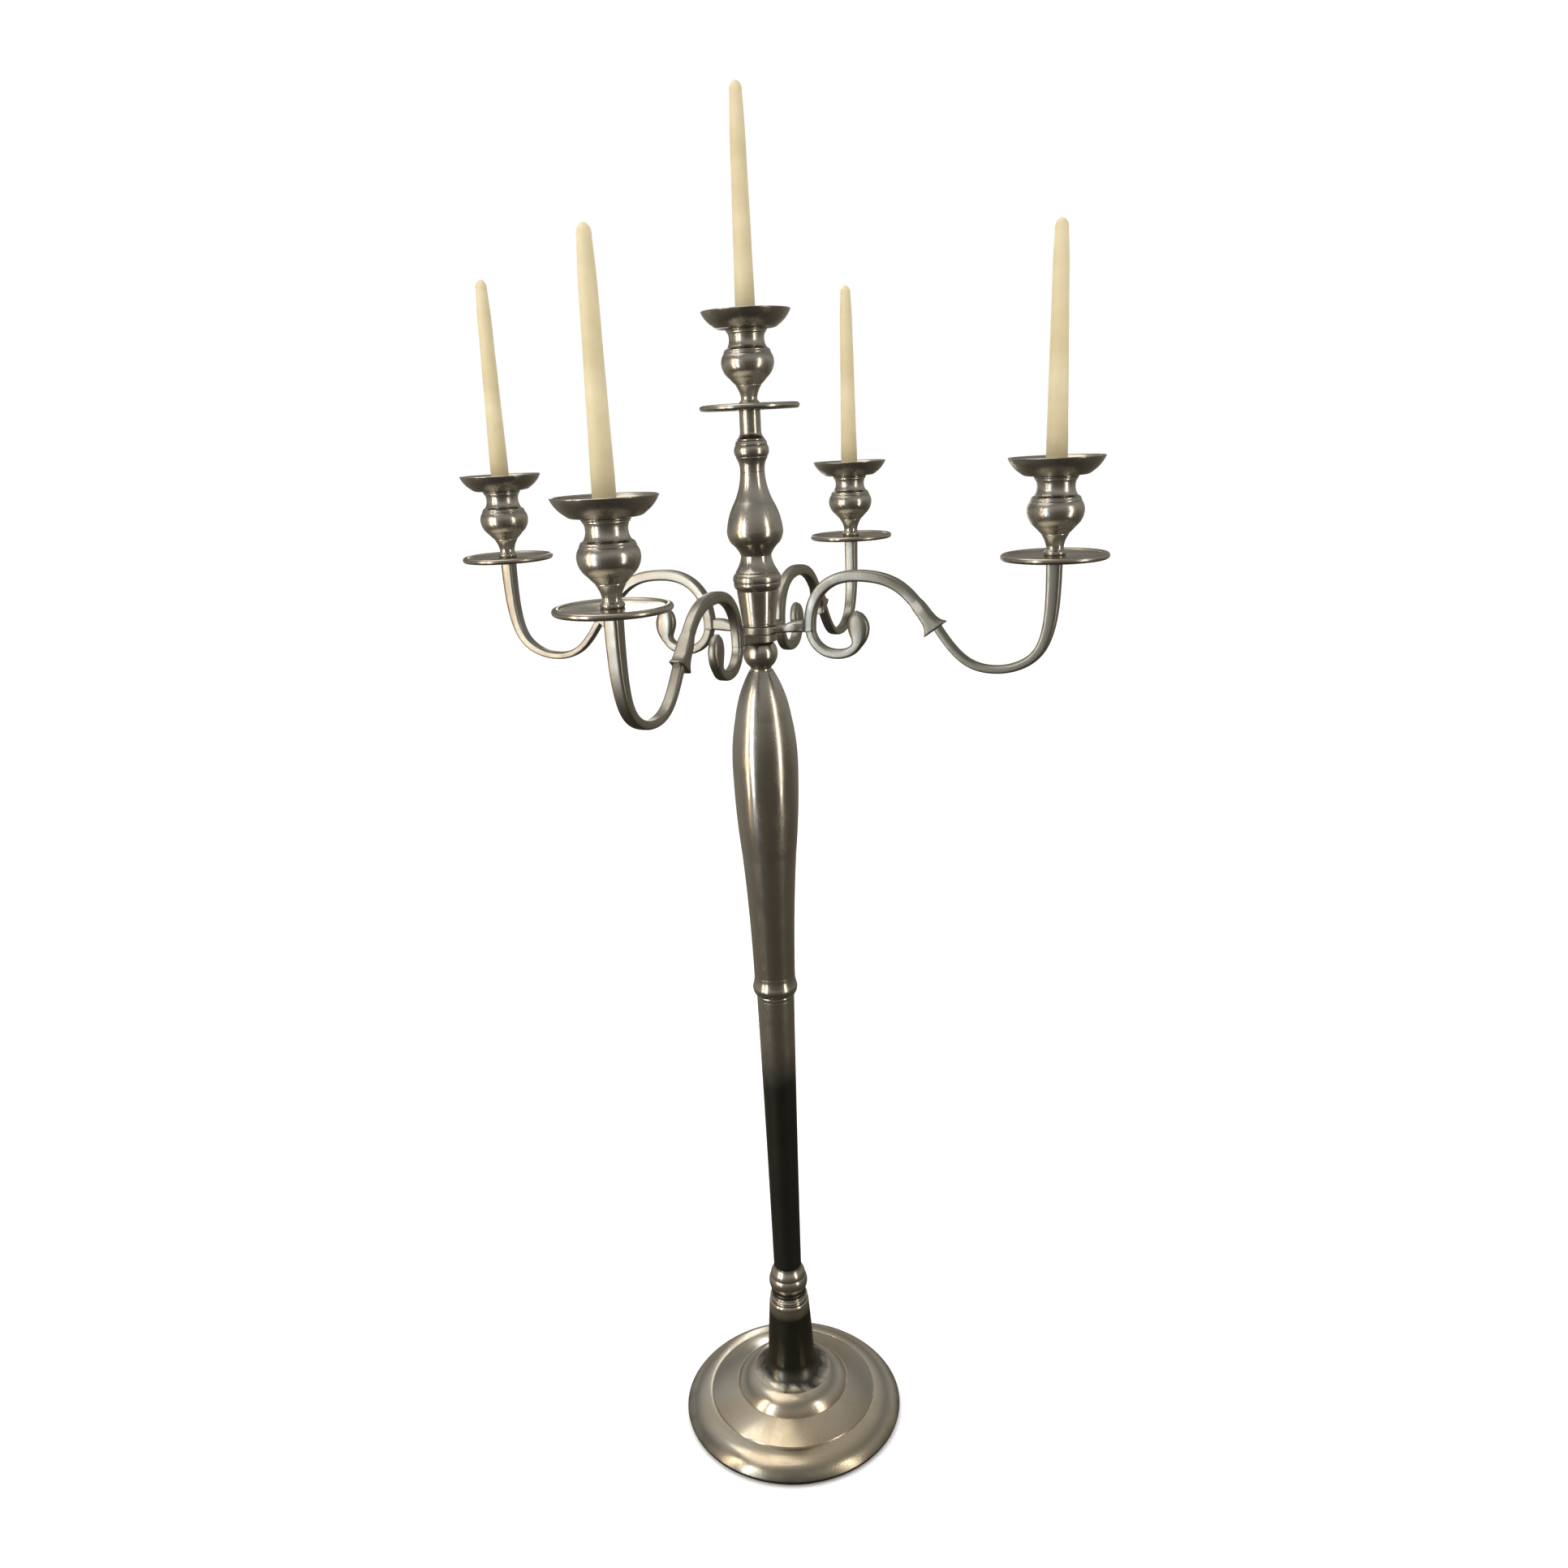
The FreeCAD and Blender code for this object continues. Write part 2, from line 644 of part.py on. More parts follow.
def make_column():
    """The socket, vase and spindle that carry the centre light."""
    turned("column_socket", [
        (ROD_HOLE, "0"),
        ("socket_foot_radius", "0"),
        ("socket_top_radius", "socket_height"),
        ("socket_bead_radius", "socket_height + socket_bead_height / 2",
         "socket_top_radius", "socket_height + socket_bead_height"),
        ("socket_throat_radius", "column_socket_height - socket_throat_drop",
         "socket_waist_radius", "column_socket_height"),
        (ROD_HOLE, "column_socket_height"),
    ], SOCKET)

    turned("column_vase", [
        (ROD_HOLE, "0"),
        ("socket_waist_radius", "0"),
        ("vase_foot_radius", "vase_foot_level", "vase_lower_radius", "vase_lower_level"),
        ("vase_swell_radius", "vase_swell_level", "vase_radius", "vase_belly_level"),
        ("vase_side_radius", "vase_side_level", "vase_flank_radius", "vase_flank_level"),
        ("vase_neck_radius", "column_vase_height - vase_neck_drop",
         "vase_top_radius", "column_vase_height"),
        (ROD_HOLE, "column_vase_height"),
    ], VASE)

    turned("column_spindle", [
        (ROD_HOLE, "0"),
        ("vase_top_radius", "0"),
        ("spindle_foot_radius", "spindle_foot_level",
         "spindle_shoulder_radius", "spindle_shoulder_level"),
        ("spindle_bead_radius", "spindle_bead_level",
         "spindle_slope_radius", "spindle_slope_level"),
        ("spindle_throat_radius", "spindle_throat_level",
         "spindle_neck_radius", "spindle_neck_level"),
        ("spindle_neck_radius", "column_spindle_height - pan_thickness"),
        (STUD_HOLE, "column_spindle_height - pan_thickness"),
        (STUD_HOLE, "column_spindle_height - pan_thickness - stud_depth"),
        ("0", "column_spindle_height - pan_thickness - stud_depth"),
        ("0", "rod_end_depth"),
        (ROD_HOLE, "rod_end_depth"),
    ], SPINDLE)


def make_light(side, level, x="0", y="0"):
    """A drip pan with its top face at the level, and its cup, stud and candle."""
    turned(side + "_drip_pan", [
        (STUD_HOLE, "0"),
        ("pan_radius - pan_edge_height / 2", "0"),
        ("pan_radius", "pan_edge_height / 2",
         "pan_radius - pan_edge_height / 2", "pan_edge_height"),
        ("pan_radius - pan_edge_width", "pan_thickness"),
        (STUD_HOLE, "pan_thickness"),
    ], level + " - pan_thickness", x, y)

    seat = "cup_height - candle_seat_depth"
    collar_top = "cup_height - socket_collar_drop"
    collar_radius = CANDLE_HOLE + " + socket_collar_wall"
    dish_floor = "cup_floor_level + dish_floor_thickness"
    turned(side + "_candle_cup", [
        (STUD_HOLE, "0"),
        ("cup_foot_radius", "0"),
        ("cup_foot_radius", "cup_foot_height"),
        ("cup_stalk_radius", "cup_stalk_level"),
        ("cup_flank_radius", "cup_flank_level", "cup_belly_radius", "cup_belly_level"),
        ("cup_bulb_radius", "cup_bulb_level", "cup_shoulder_radius", "cup_shoulder_level"),
        ("cup_neck_radius", "cup_neck_level", "cup_throat_radius", "cup_throat_level"),
        ("cup_root_radius", "cup_floor_level"),
        ("cup_floor_radius", "cup_floor_level"),
        ("(cup_floor_radius + cup_rim_radius) / 2 + dish_swell",
         "(cup_floor_level + cup_height) / 2 - dish_swell", "cup_rim_radius", "cup_height"),
        ("cup_rim_radius - cup_wall", "cup_height"),
        ("cup_floor_radius - cup_wall / 2", dish_floor),
        (collar_radius, dish_floor),
        (collar_radius, collar_top),
        (CANDLE_HOLE, collar_top),
        (CANDLE_HOLE, seat),
        ("0", seat),
        ("0", "stud_depth"),
        (STUD_HOLE, "stud_depth"),
    ], level, x, y)

    turned(side + "_cup_stud", [
        ("0", "0"),
        ("stud_radius", "0"),
        ("stud_radius", "stud_depth * 2 + pan_thickness"),
        ("0", "stud_depth * 2 + pan_thickness"),
    ], level + " - pan_thickness - stud_depth", x, y)

    turned(side + "_candle", [
        ("0", "0"),
        ("candle_foot_radius", "0"),
        ("candle_foot_radius", "candle_foot_height"),
        ("candle_upper_radius", "candle_upper_level"),
        ("(candle_upper_radius + candle_shoulder_radius) / 2 + candle_swell",
         "(candle_upper_level + candle_length - candle_shoulder_drop) / 2 + candle_swell_rise",
         "candle_shoulder_radius", "candle_length - candle_shoulder_drop"),
        ("candle_tip_bend_radius", "candle_length - candle_tip_bend_drop",
         "candle_tip_radius", "candle_length"),
        ("0", "candle_length"),
    ], level + " + " + seat + " + body_gap", x, y)


def make_arm_ring(name, level, turn):
    """The ring of one arm pair, with a lug to each side."""
    body = new_body(name)
    hole = "sleeve_radius + running_clearance"
    sketch = new_sketch(body, name + "_outline")
    draw_outline(sketch, [
        (hole, "0"), ("arm_ring_radius", "0"),
        ("arm_ring_radius", "arm_ring_height"), (hole, "arm_ring_height")])
    ring = body.newObject("PartDesign::Revolution", name + "_turning")
    ring.Profile = sketch
    ring.ReferenceAxis = (sketch, ["V_Axis"])
    ring.Angle = 360
    low = "lug_rise - lug_height / 2"
    high = "lug_rise + lug_height / 2"
    for side, sign in (("plus", ""), ("minus", "-")):
        outline = [("lug_root_radius", "lug_root_inset"), ("lug_step_radius", "lug_root_inset"),
                   ("lug_reach", low), ("lug_reach", high), ("lug_step_radius", high),
                   ("lug_step_radius", "arm_ring_height - lug_root_inset"),
                   ("lug_root_radius", "arm_ring_height - lug_root_inset")]
        steps = [("%s(%s)" % (sign, reach), rise) for reach, rise in outline]
        padded(body, "%s_%s_lug" % (name, side), steps, "lug_width")
    place(body, level, turn=turn)


# The arm from the side: reach from the hub axis, then rise from the lug's middle. The lines are
# the points that draw a smooth curve, and the outlines are the corners of plates.
ROOT_OUTLINE = [
    ("lug_reach", "-(lug_height) / 2"), ("arm_root_reach", "-(lug_height) * 0.75"),
    ("arm_root_reach + 6.4", "-(lug_height) / 2"), ("arm_root_reach + 9", "0"),
    ("arm_root_reach + 6.4", "lug_height / 2"), ("arm_root_reach", "lug_height * 0.75"),
    ("lug_reach", "lug_height / 2"),
]
ARCH_LINE = [
    ("arm_root_reach", "-6"), ("arm_root_reach", "14"),
    ("arm_root_reach + 7", "arch_rise * 0.63"), ("arch_reach - 40", "arch_rise - 2"),
    ("arch_reach", "arch_rise"), ("arch_reach + 40", "arch_rise - 9.5"),
    ("knuckle_reach - 15", "22"), ("knuckle_reach + 1", "0"),
]
SCROLL_LINE = [
    ("arm_root_reach", "6"), ("arm_root_reach", "-10"),
    ("arm_root_reach + 9", "-(scroll_drop) * 0.78"), ("leaf_reach - 33.5", "-(scroll_drop)"),
    ("leaf_reach - 11.5", "-(scroll_drop) + 2"), ("leaf_reach + 1.5", "-(scroll_drop) + 14.5"),
    ("leaf_reach + 1.5", "-(scroll_drop) + 27.5"),
]
LEAF_OUTLINE = [
    ("leaf_reach - 5.5", "-(scroll_drop) + 22"),
    ("leaf_reach + 5.5", "-(scroll_drop) + 10.5"),
    ("leaf_reach + leaf_width / 2", "-(scroll_drop) + 31", "leaf_reach + 5", "leaf_rise - 1"),
    ("leaf_reach - 3.5", "leaf_rise + 0.8", "leaf_reach - leaf_width / 2", "leaf_rise - 3.5"),
    ("leaf_reach - leaf_width / 2", "leaf_rise - 8"),
]
KNUCKLE_OUTLINE = [
    ("knuckle_reach - 15", "10.7"), ("knuckle_reach - 9", "0.6"),
    ("knuckle_reach - 7", "-8.5"), ("knuckle_reach - 4", "-14.6"),
    ("knuckle_reach + 5", "-15.9"), ("knuckle_reach + 13", "11.8"),
    ("knuckle_reach + 4", "12.8"), ("knuckle_reach - 9", "25.6"),
]
BOSS_TOP = "arm_pan_rise - boss_flange_height"
BOW_LINE = [
    ("arm_reach", BOSS_TOP + " - 12"), ("arm_reach", "35"), ("arm_reach - 3.2", "2"),
    ("arm_reach - 14", "-(bow_drop) + 19"), ("bow_reach + 28", "-(bow_drop) + 3.5"),
    ("bow_reach - 2", "-(bow_drop)"), ("bow_reach - 32", "-(bow_drop) + 8.5"),
    ("knuckle_reach + 14", "-14"), ("knuckle_reach + 2", "4"),
]
BOSS_OUTLINE = [
    ("arm_reach", "boss_foot_level"), ("arm_reach + boss_foot_radius", "boss_foot_level"),
    ("arm_reach + boss_radius", "boss_full_level"), ("arm_reach + boss_radius", BOSS_TOP),
    ("arm_reach + boss_flange_radius", "arm_pan_rise - boss_flange_edge"),
    ("arm_reach + boss_flange_radius", "arm_pan_rise"), ("arm_reach", "arm_pan_rise"),
]


def about_pan_axis(body, kind, name, outline):
    """Turn an outline about the upright axis of the arm's pan, to add or to cut."""
    sketch = new_sketch(body, name + "_outline")
    draw_outline(sketch, outline)
    foot = FreeCAD.Vector(value("arm_reach"), 0, 0)
    head = FreeCAD.Vector(value("arm_reach"), value("arm_pan_rise"), 0)
    axis = sketch.addGeometry(Part.LineSegment(foot, head), True)
    hold_point(sketch, axis, 1, "arm_reach", "0")
    hold_point(sketch, axis, 2, "arm_reach", "arm_pan_rise")
    feature = body.newObject("PartDesign::" + kind, name)
    feature.Profile = sketch
    feature.ReferenceAxis = (sketch, ["Axis0"])
    feature.Angle = 360


def make_arm(side, level):
    """One arm: an arch and a scroll from the lug, a knuckle, a bow and a boss for the pan."""
    body = new_body(side + "_arm")
    padded(body, side + "_root", ROOT_OUTLINE, "plate_width")
    bar(body, side + "_arch", ARCH_LINE, "arch_thickness", "arch_width")
    bar(body, side + "_scroll", SCROLL_LINE, "scroll_thickness", "scroll_width")
    padded(body, side + "_leaf", LEAF_OUTLINE, "plate_width")
    padded(body, side + "_knuckle", KNUCKLE_OUTLINE, "knuckle_width")
    bar(body, side + "_bow", BOW_LINE, "bow_thickness", "bow_width")
    about_pan_axis(body, "Revolution", side + "_boss", BOSS_OUTLINE)
    bore_foot = "arm_pan_rise - stud_depth"
    bore_side = "arm_reach + " + STUD_HOLE
    bore_head = "arm_pan_rise + stud_depth"
    about_pan_axis(body, "Groove", side + "_bore", [
        ("arm_reach", bore_foot), (bore_side, bore_foot),
        (bore_side, bore_head), ("arm_reach", bore_head)])
    turn, _, _ = ARMS[side]
    place(body, level + " + lug_rise", turn=turn)


def make_pair(name, sides, level):
    """One arm pair with its ring, arms and lights."""
    make_arm_ring(name + "_arm_ring", level, ARMS[sides[0]][0])
    for side in sides:
        _, along_x, along_y = ARMS[side]
        make_arm(side, level)
        make_light(side, level + " + lug_rise + arm_pan_rise + pan_thickness",
                   "arm_reach * %d" % along_x, "arm_reach * %d" % along_y)


make_base()
make_stem()
make_hub()
make_column()
make_light("centre", CENTRE_PAN)
make_pair("upper", UPPER_PAIR, UPPER_RING)
make_pair("lower", LOWER_PAIR, LOWER_RING)
doc.recompute()

for obj in doc.Objects:
    if "Invalid" in obj.State or "Error" in obj.State:
        raise RuntimeError("%s did not build: %s" % (obj.Label, obj.State))
for node in NODES:
    if node.Shape.isNull() or not node.Shape.isValid():
        raise RuntimeError("%s has no sound shape" % node.Label)

os.makedirs("parts", exist_ok=True)
for node in NODES:
    node.Shape.exportStep("parts/%s.step" % node.Label)
    print("%-20s %2d solid %10.0f mm3" % (node.Label, len(node.Shape.Solids), node.Shape.Volume))
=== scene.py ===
# %% [markdown]
# # A five-light floor candelabrum
# The real thing is cast and turned metal, polished by hand: a domed base, a baluster stem, four
# S-scroll arms in two crossing pairs and five dished cups with ivory candles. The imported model
# already holds every size, joint and place. This lesson builds the skins that are seen: lathe
# surfaces for whatever was turned, swept bars for the arms, and a finish for each material.

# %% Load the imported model
import json
import math

import bpy
import numpy as np
from mathutils import Matrix, Vector


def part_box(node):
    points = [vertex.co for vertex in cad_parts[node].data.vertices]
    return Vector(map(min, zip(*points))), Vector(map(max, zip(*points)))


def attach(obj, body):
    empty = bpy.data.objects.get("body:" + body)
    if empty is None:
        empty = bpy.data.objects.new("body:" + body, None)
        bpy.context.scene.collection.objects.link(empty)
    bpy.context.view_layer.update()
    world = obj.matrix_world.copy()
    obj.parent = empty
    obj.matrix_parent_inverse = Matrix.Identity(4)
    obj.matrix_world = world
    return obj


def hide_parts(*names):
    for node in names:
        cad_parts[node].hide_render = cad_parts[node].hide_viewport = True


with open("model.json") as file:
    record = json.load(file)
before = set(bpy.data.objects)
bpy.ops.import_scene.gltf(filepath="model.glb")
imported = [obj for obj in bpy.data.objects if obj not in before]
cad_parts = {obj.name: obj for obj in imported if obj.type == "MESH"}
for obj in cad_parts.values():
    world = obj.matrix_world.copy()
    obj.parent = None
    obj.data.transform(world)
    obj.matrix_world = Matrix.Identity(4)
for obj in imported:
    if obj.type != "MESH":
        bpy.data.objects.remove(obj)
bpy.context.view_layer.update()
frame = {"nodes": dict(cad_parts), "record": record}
MM = 0.001
BODY_OF = {node: body for body, nodes in frame["record"]["behaviour"]["bodies"].items()
           for node in nodes}
SLOT_OF = {row["node"]: row["material_slot"] for row in frame["record"]["subparts"]}
SIDES = ("centre", "right", "left", "front", "back")
ARM_SIDES = SIDES[1:]

# %% [markdown]
# ## Where each turned piece stands
# A turned piece is round about an upright axis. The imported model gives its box, so its foot, its
# height, its greatest radius and its axis are read there and never typed twice.


# %% Read a turned node's axis, foot, radius and height
def seat(node):
    """The axis x and y, the foot's level, the greatest radius and the height of a turned node."""
    low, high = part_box(node)
    return ((low.x + high.x) / 2, (low.y + high.y) / 2, low.z,
            (high.x - low.x) / 2, high.z - low.z)


for side in SIDES:
    print(side, "light axis at", [round(v, 4) for v in seat(side + "_candle_cup")[:2]])

# %% [markdown]
# ## Outlines
# A turner works from a half-section: straight stretches, round stretches and small worn corners.
# An outline here is a list of steps in a unit box, where 1 is the piece's greatest radius and its
# height. A step of two numbers is a straight run to a corner, and a step of four is an arc
# through a point to a corner. Corners are softened a little, because polishing never leaves a
# knife edge and a soft edge is what catches the light.


# %% Turn outline steps into points
def circle_through(start, middle, end):
    """Centre, radius, first angle and signed sweep of the arc start-middle-end.

    The centre solves |c-start| = |c-middle| = |c-end|, two linear equations in c.
    """
    rows = np.array([middle - start, end - start])
    sides = np.array([middle @ middle - start @ start, end @ end - start @ start]) / 2
    centre = np.linalg.solve(rows, sides)
    angles = [math.atan2(*(p - centre)[::-1]) for p in (start, middle, end)]
    sweep = (angles[2] - angles[0]) % (2 * math.pi)
    if (angles[1] - angles[0]) % (2 * math.pi) > sweep:
        sweep -= 2 * math.pi
    return centre, np.linalg.norm(start - centre), angles[0], sweep


def stretch(start, step, scale):
    """A function of t from 0 to 1 along one step, its length and the spans it needs."""
    end = np.array(step[-2:]) * scale
    if len(step) == 2:
        length = np.linalg.norm(end - start)
        spans = int(np.clip(length / (4 * MM), 3, 24))
        return (lambda t: start + np.outer(t, end - start)), length, spans
    centre, radius, first, sweep = circle_through(start, np.array(step[:2]) * scale, end)
    length = abs(sweep) * radius
    spans = int(np.clip(abs(sweep) / math.radians(6) + length / (5 * MM), 6, 60))

    def along(t):
        angle = first + sweep * t
        return centre + radius * np.stack([np.cos(angle), np.sin(angle)], axis=1)
    return along, length, spans


def outline(steps, radius, height, soft=0.5 * MM, closed=True):
    """Points of an outline whose corners are softened by a parabola between the trimmed runs.

    With A and B the trimmed ends and C the corner, the corner is (1-t)^2 A + 2t(1-t) C + t^2 B.
    """
    scale = np.array([radius, height])
    corners = [np.array(step[-2:]) * scale for step in steps]
    order = range(len(steps)) if closed else range(1, len(steps))
    runs = []
    for index in order:
        along, length, spans = stretch(corners[index - 1], steps[index], scale)
        cut = min(soft / max(length, 1e-9), 0.3)
        first = 0 if (not closed and index == 1) else cut
        last = 1 if (not closed and index == len(steps) - 1) else 1 - cut
        ease = (1 - np.cos(np.linspace(0, math.pi, spans + 1))) / 2
        runs.append((along(first + (last - first) * ease), corners[index]))
    bend = np.array([0.2, 0.4, 0.6, 0.8])[:, None]
    points = []
    for index, (run, corner) in enumerate(runs):
        points.append(run)
        if closed or index < len(runs) - 1:
            after = runs[(index + 1) % len(runs)][0][0]
            before = run[-1]
            points.append((1 - bend) ** 2 * before + 2 * bend * (1 - bend) * corner
                          + bend ** 2 * after)
    return np.concatenate(points)


# %% [markdown]
# ## Lathe surfaces
# A lathe makes the surface (r cos a, r sin a, z) from an outline (r, z). It could come from a
# Screw modifier, but worked out as one array it has exact seams, closed poles and no live
# modifier, which keeps patterns on Object coordinates where they belong.


# %% Put arrays into meshes
def new_piece(name, vertices, quads, fans=()):
    """A smooth mesh object at the origin from arrays of vertices, quads and triangles."""
    faces = [row for block in (quads, *fans) for row in np.asarray(block).tolist()]
    mesh = bpy.data.meshes.new(name)
    mesh.from_pydata(np.asarray(vertices).tolist(), [], faces)
    mesh.polygons.foreach_set("use_smooth", np.ones(len(faces), bool))
    mesh.update()
    piece = bpy.data.objects.new(name, mesh)
    bpy.context.scene.collection.objects.link(piece)
    return piece


def grid_faces(rows, columns, wrap_rows):
    """Quads between neighbouring rows of a grid whose columns close on themselves."""
    row = np.arange(rows if wrap_rows else rows - 1)[:, None]
    column = np.arange(columns)[None, :]
    below = (row + 1) % rows
    beside = (column + 1) % columns
    corners = (row * columns + column, row * columns + beside,
               below * columns + beside, below * columns + column)
    return np.stack(np.broadcast_arrays(*corners), axis=-1).reshape(-1, 4)


def end_fans(rows, columns):
    """Triangles from a grid's first and last row to two vertices that follow the grid."""
    column = np.arange(columns)
    beside = (column + 1) % columns
    pole = rows * columns
    last = pole - columns
    return [np.stack([np.full(columns, pole), beside, column], axis=1),
            np.stack([np.full(columns, pole + 1), last + column, last + beside], axis=1)]


def spun(points, axis, foot, around, closed):
    """Vertices and faces of an outline (r, z) turned about an upright axis.

    A vertex is (x + r cos a, y + r sin a, foot + z). An outline that starts and ends on the
    axis gets one vertex at each pole and a fan of triangles round it.
    """
    points = np.array(points)
    ahead = np.roll(points, -1, axis=0)
    if np.sum(points[:, 0] * ahead[:, 1] - ahead[:, 0] * points[:, 1]) < 0:
        points = points[::-1]
    angle = np.linspace(0, 2 * math.pi, around, endpoint=False)
    rings = points if closed else points[1:-1]
    radius, level = rings[:, :1], rings[:, 1:]
    vertices = np.stack([axis[0] + radius * np.cos(angle), axis[1] + radius * np.sin(angle),
                         foot + level + 0 * angle], axis=-1).reshape(-1, 3)
    quads = grid_faces(len(rings), around, closed)
    if closed:
        return vertices, quads, []
    poles = np.array([[axis[0], axis[1], foot + points[0, 1]],
                      [axis[0], axis[1], foot + points[-1, 1]]])
    return np.concatenate([vertices, poles]), quads, end_fans(len(rings), around)


def finish_piece(piece, node, material):
    """Give a piece its finish and its body, and let it stand for a node."""
    piece.data.materials.append(material)
    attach(piece, BODY_OF[node])
    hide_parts(node)
    return piece


def lathe(node, steps, material, around=160, closed=True, soft=0.5 * MM):
    """The turned skin of a node, from its outline in the unit box of the node."""
    x, y, foot, radius, height = seat(node)
    points = outline(steps, radius, height, soft, closed)
    piece = new_piece(node + "_turned", *spun(points, (x, y), foot, around, closed))
    print("%-22s %4d outline points, %6d faces" % (node, len(points), len(piece.data.polygons)))
    return finish_piece(piece, node, material)


# %% [markdown]
# ## Shader sums
# A finish is mostly small sums: a noise, scaled and shifted, drives the roughness, another the
# bump. A socket that knows + - * / lets such a sum be read as one line of Python.


# %% A socket that can be used in sums, and one method for every other node
class Wire:
    """A shader socket. An operator on it adds the Math node that works it out."""

    def __init__(self, tree, socket):
        self.tree = tree
        self.socket = socket

    def sum_with(self, operation, other, swapped=False):
        node = self.tree.nodes.new("ShaderNodeMath")
        node.operation = operation
        terms = (other, self) if swapped else (self, other)
        for slot, term in zip(node.inputs, terms):
            if isinstance(term, Wire):
                self.tree.links.new(term.socket, slot)
            else:
                slot.default_value = term
        return Wire(self.tree, node.outputs[0])

    def __add__(self, other):
        return self.sum_with("ADD", other)

    def __sub__(self, other):
        return self.sum_with("SUBTRACT", other)

    def __rsub__(self, other):
        return self.sum_with("SUBTRACT", other, swapped=True)

    def __mul__(self, other):
        return self.sum_with("MULTIPLY", other)

    def __truediv__(self, other):
        return self.sum_with("DIVIDE", other)

    def __pow__(self, other):
        return self.sum_with("POWER", other)

    __radd__ = __add__
    __rmul__ = __mul__


class Maker:
    """A node tree and the one method that adds nodes to it."""

    def __init__(self, tree):
        self.tree = tree

    def node(self, kind, settings=None, sockets=None, out=0):
        """Add a node: its settings first, then the values or wires of its sockets."""
        node = self.tree.nodes.new(kind)
        for key, setting in (settings or {}).items():
            if key == "stops":
                while len(node.color_ramp.elements) < len(setting):
                    node.color_ramp.elements.new(0.5)
                for element, (place, colour) in zip(node.color_ramp.elements, setting):
                    element.position = place
                    element.color = (*colour, 1)
            else:
                setattr(node, key, setting)
        self.plug(node, sockets or {})
        return Wire(self.tree, node.outputs[out])

    def plug(self, node, sockets):
        """Set or link sockets, found by identifier, name or number."""
        for key, term in sockets.items():
            if isinstance(key, int):
                slot = node.inputs[key]
            else:
                slot = next(s for s in node.inputs if s.identifier == key or s.name == key)
            if isinstance(term, Wire):
                self.tree.links.new(term.socket, slot)
            else:
                slot.default_value = term

    def split(self, vector):
        """The three numbers of a vector."""
        node = self.node("ShaderNodeSeparateXYZ", sockets={"Vector": vector}).socket.node
        return [Wire(self.tree, socket) for socket in node.outputs]


class Finish(Maker):
    """A material under construction, with its Principled shader."""

    def __init__(self, name):
        self.material = bpy.data.materials.new(name)
        self.material.use_nodes = True
        super().__init__(self.material.node_tree)
        self.shader = next(n for n in self.tree.nodes if n.type == "BSDF_PRINCIPLED")

    def spot(self, axis=(0, 0)):
        """Object coordinates, moved so that the given upright axis is at x = y = 0."""
        place = self.node("ShaderNodeTexCoord", out=3)
        shift = {"Vector": place, "Location": (-axis[0], -axis[1], 0)}
        return self.node("ShaderNodeMapping", sockets=shift)

    def noise(self, vector, scale, detail=3.0, roughness=0.5, distortion=0.0):
        """Cloudy noise between 0 and 1."""
        return self.node("ShaderNodeTexNoise", sockets={
            "Vector": vector, "Scale": scale, "Detail": detail, "Roughness": roughness,
            "Distortion": distortion})

    def between(self, factor, low, high):
        """A colour that goes from low to high as the factor goes from 0 to 1."""
        return self.node("ShaderNodeMix", {"data_type": "RGBA"}, {
            "Factor_Float": factor, "A_Color": (*low, 1), "B_Color": (*high, 1)}, out=2)

    def clamp(self, wire, low, high, floor=0.0, top=1.0):
        """Map a wire from low..high to floor..top, and hold it there."""
        return self.node("ShaderNodeMapRange", {"clamp": True}, {
            "Value": wire, "From Min": low, "From Max": high, "To Min": floor, "To Max": top})

    def bump(self, height, distance, strength=1.0):
        """A normal roughened by a height in metres of the given distance."""
        return self.node("ShaderNodeBump", sockets={
            "Height": height, "Distance": distance, "Strength": strength})


# %% [markdown]
# ## The polished metal
# The castings are a white metal with a warm, slightly yellowed polish. Two things make it read
# as hand-polished metal instead of a mirror: fine rings left by the lathe and cloudy smears where
# hands and cloths have been. Dark bands are painted on too: on the stem's lower half an almost
# black-green painted reflection of a dark floor, on the neck partly real tarnishing and partly a
# painted dark reflection, and painted shade in the stem foot's groove, along the base's lower rim
# and on every face that looks down. The base and neck get a lighter copy of the metal colour,
# painted light that makes the base the palest of all.

# %% The metal, with rings about a chosen axis
METAL_LIGHT = (0.62, 0.59, 0.525)
METAL_WARM = (0.45, 0.405, 0.32)
# A lighter, warmer copy of the metal for the base and neck: painted light, so the upward-facing
# base looks brightly lit.
FOOT_LIGHT_PAINTED_BRIGHTER = (0.71, 0.665, 0.57)
FOOT_WARM_PAINTED_BRIGHTER = (0.57, 0.475, 0.325)
# The dark colour for the specks, for the painted shade and painted reflection bands (partly real
# tarnishing on the neck) and for the painted shade under down-facing faces.
METAL_DARK_OF_TARNISH_AND_PAINTED_SHADE = (0.045, 0.052, 0.042)
EDGE_TINT = (0.80, 0.76, 0.70, 1)


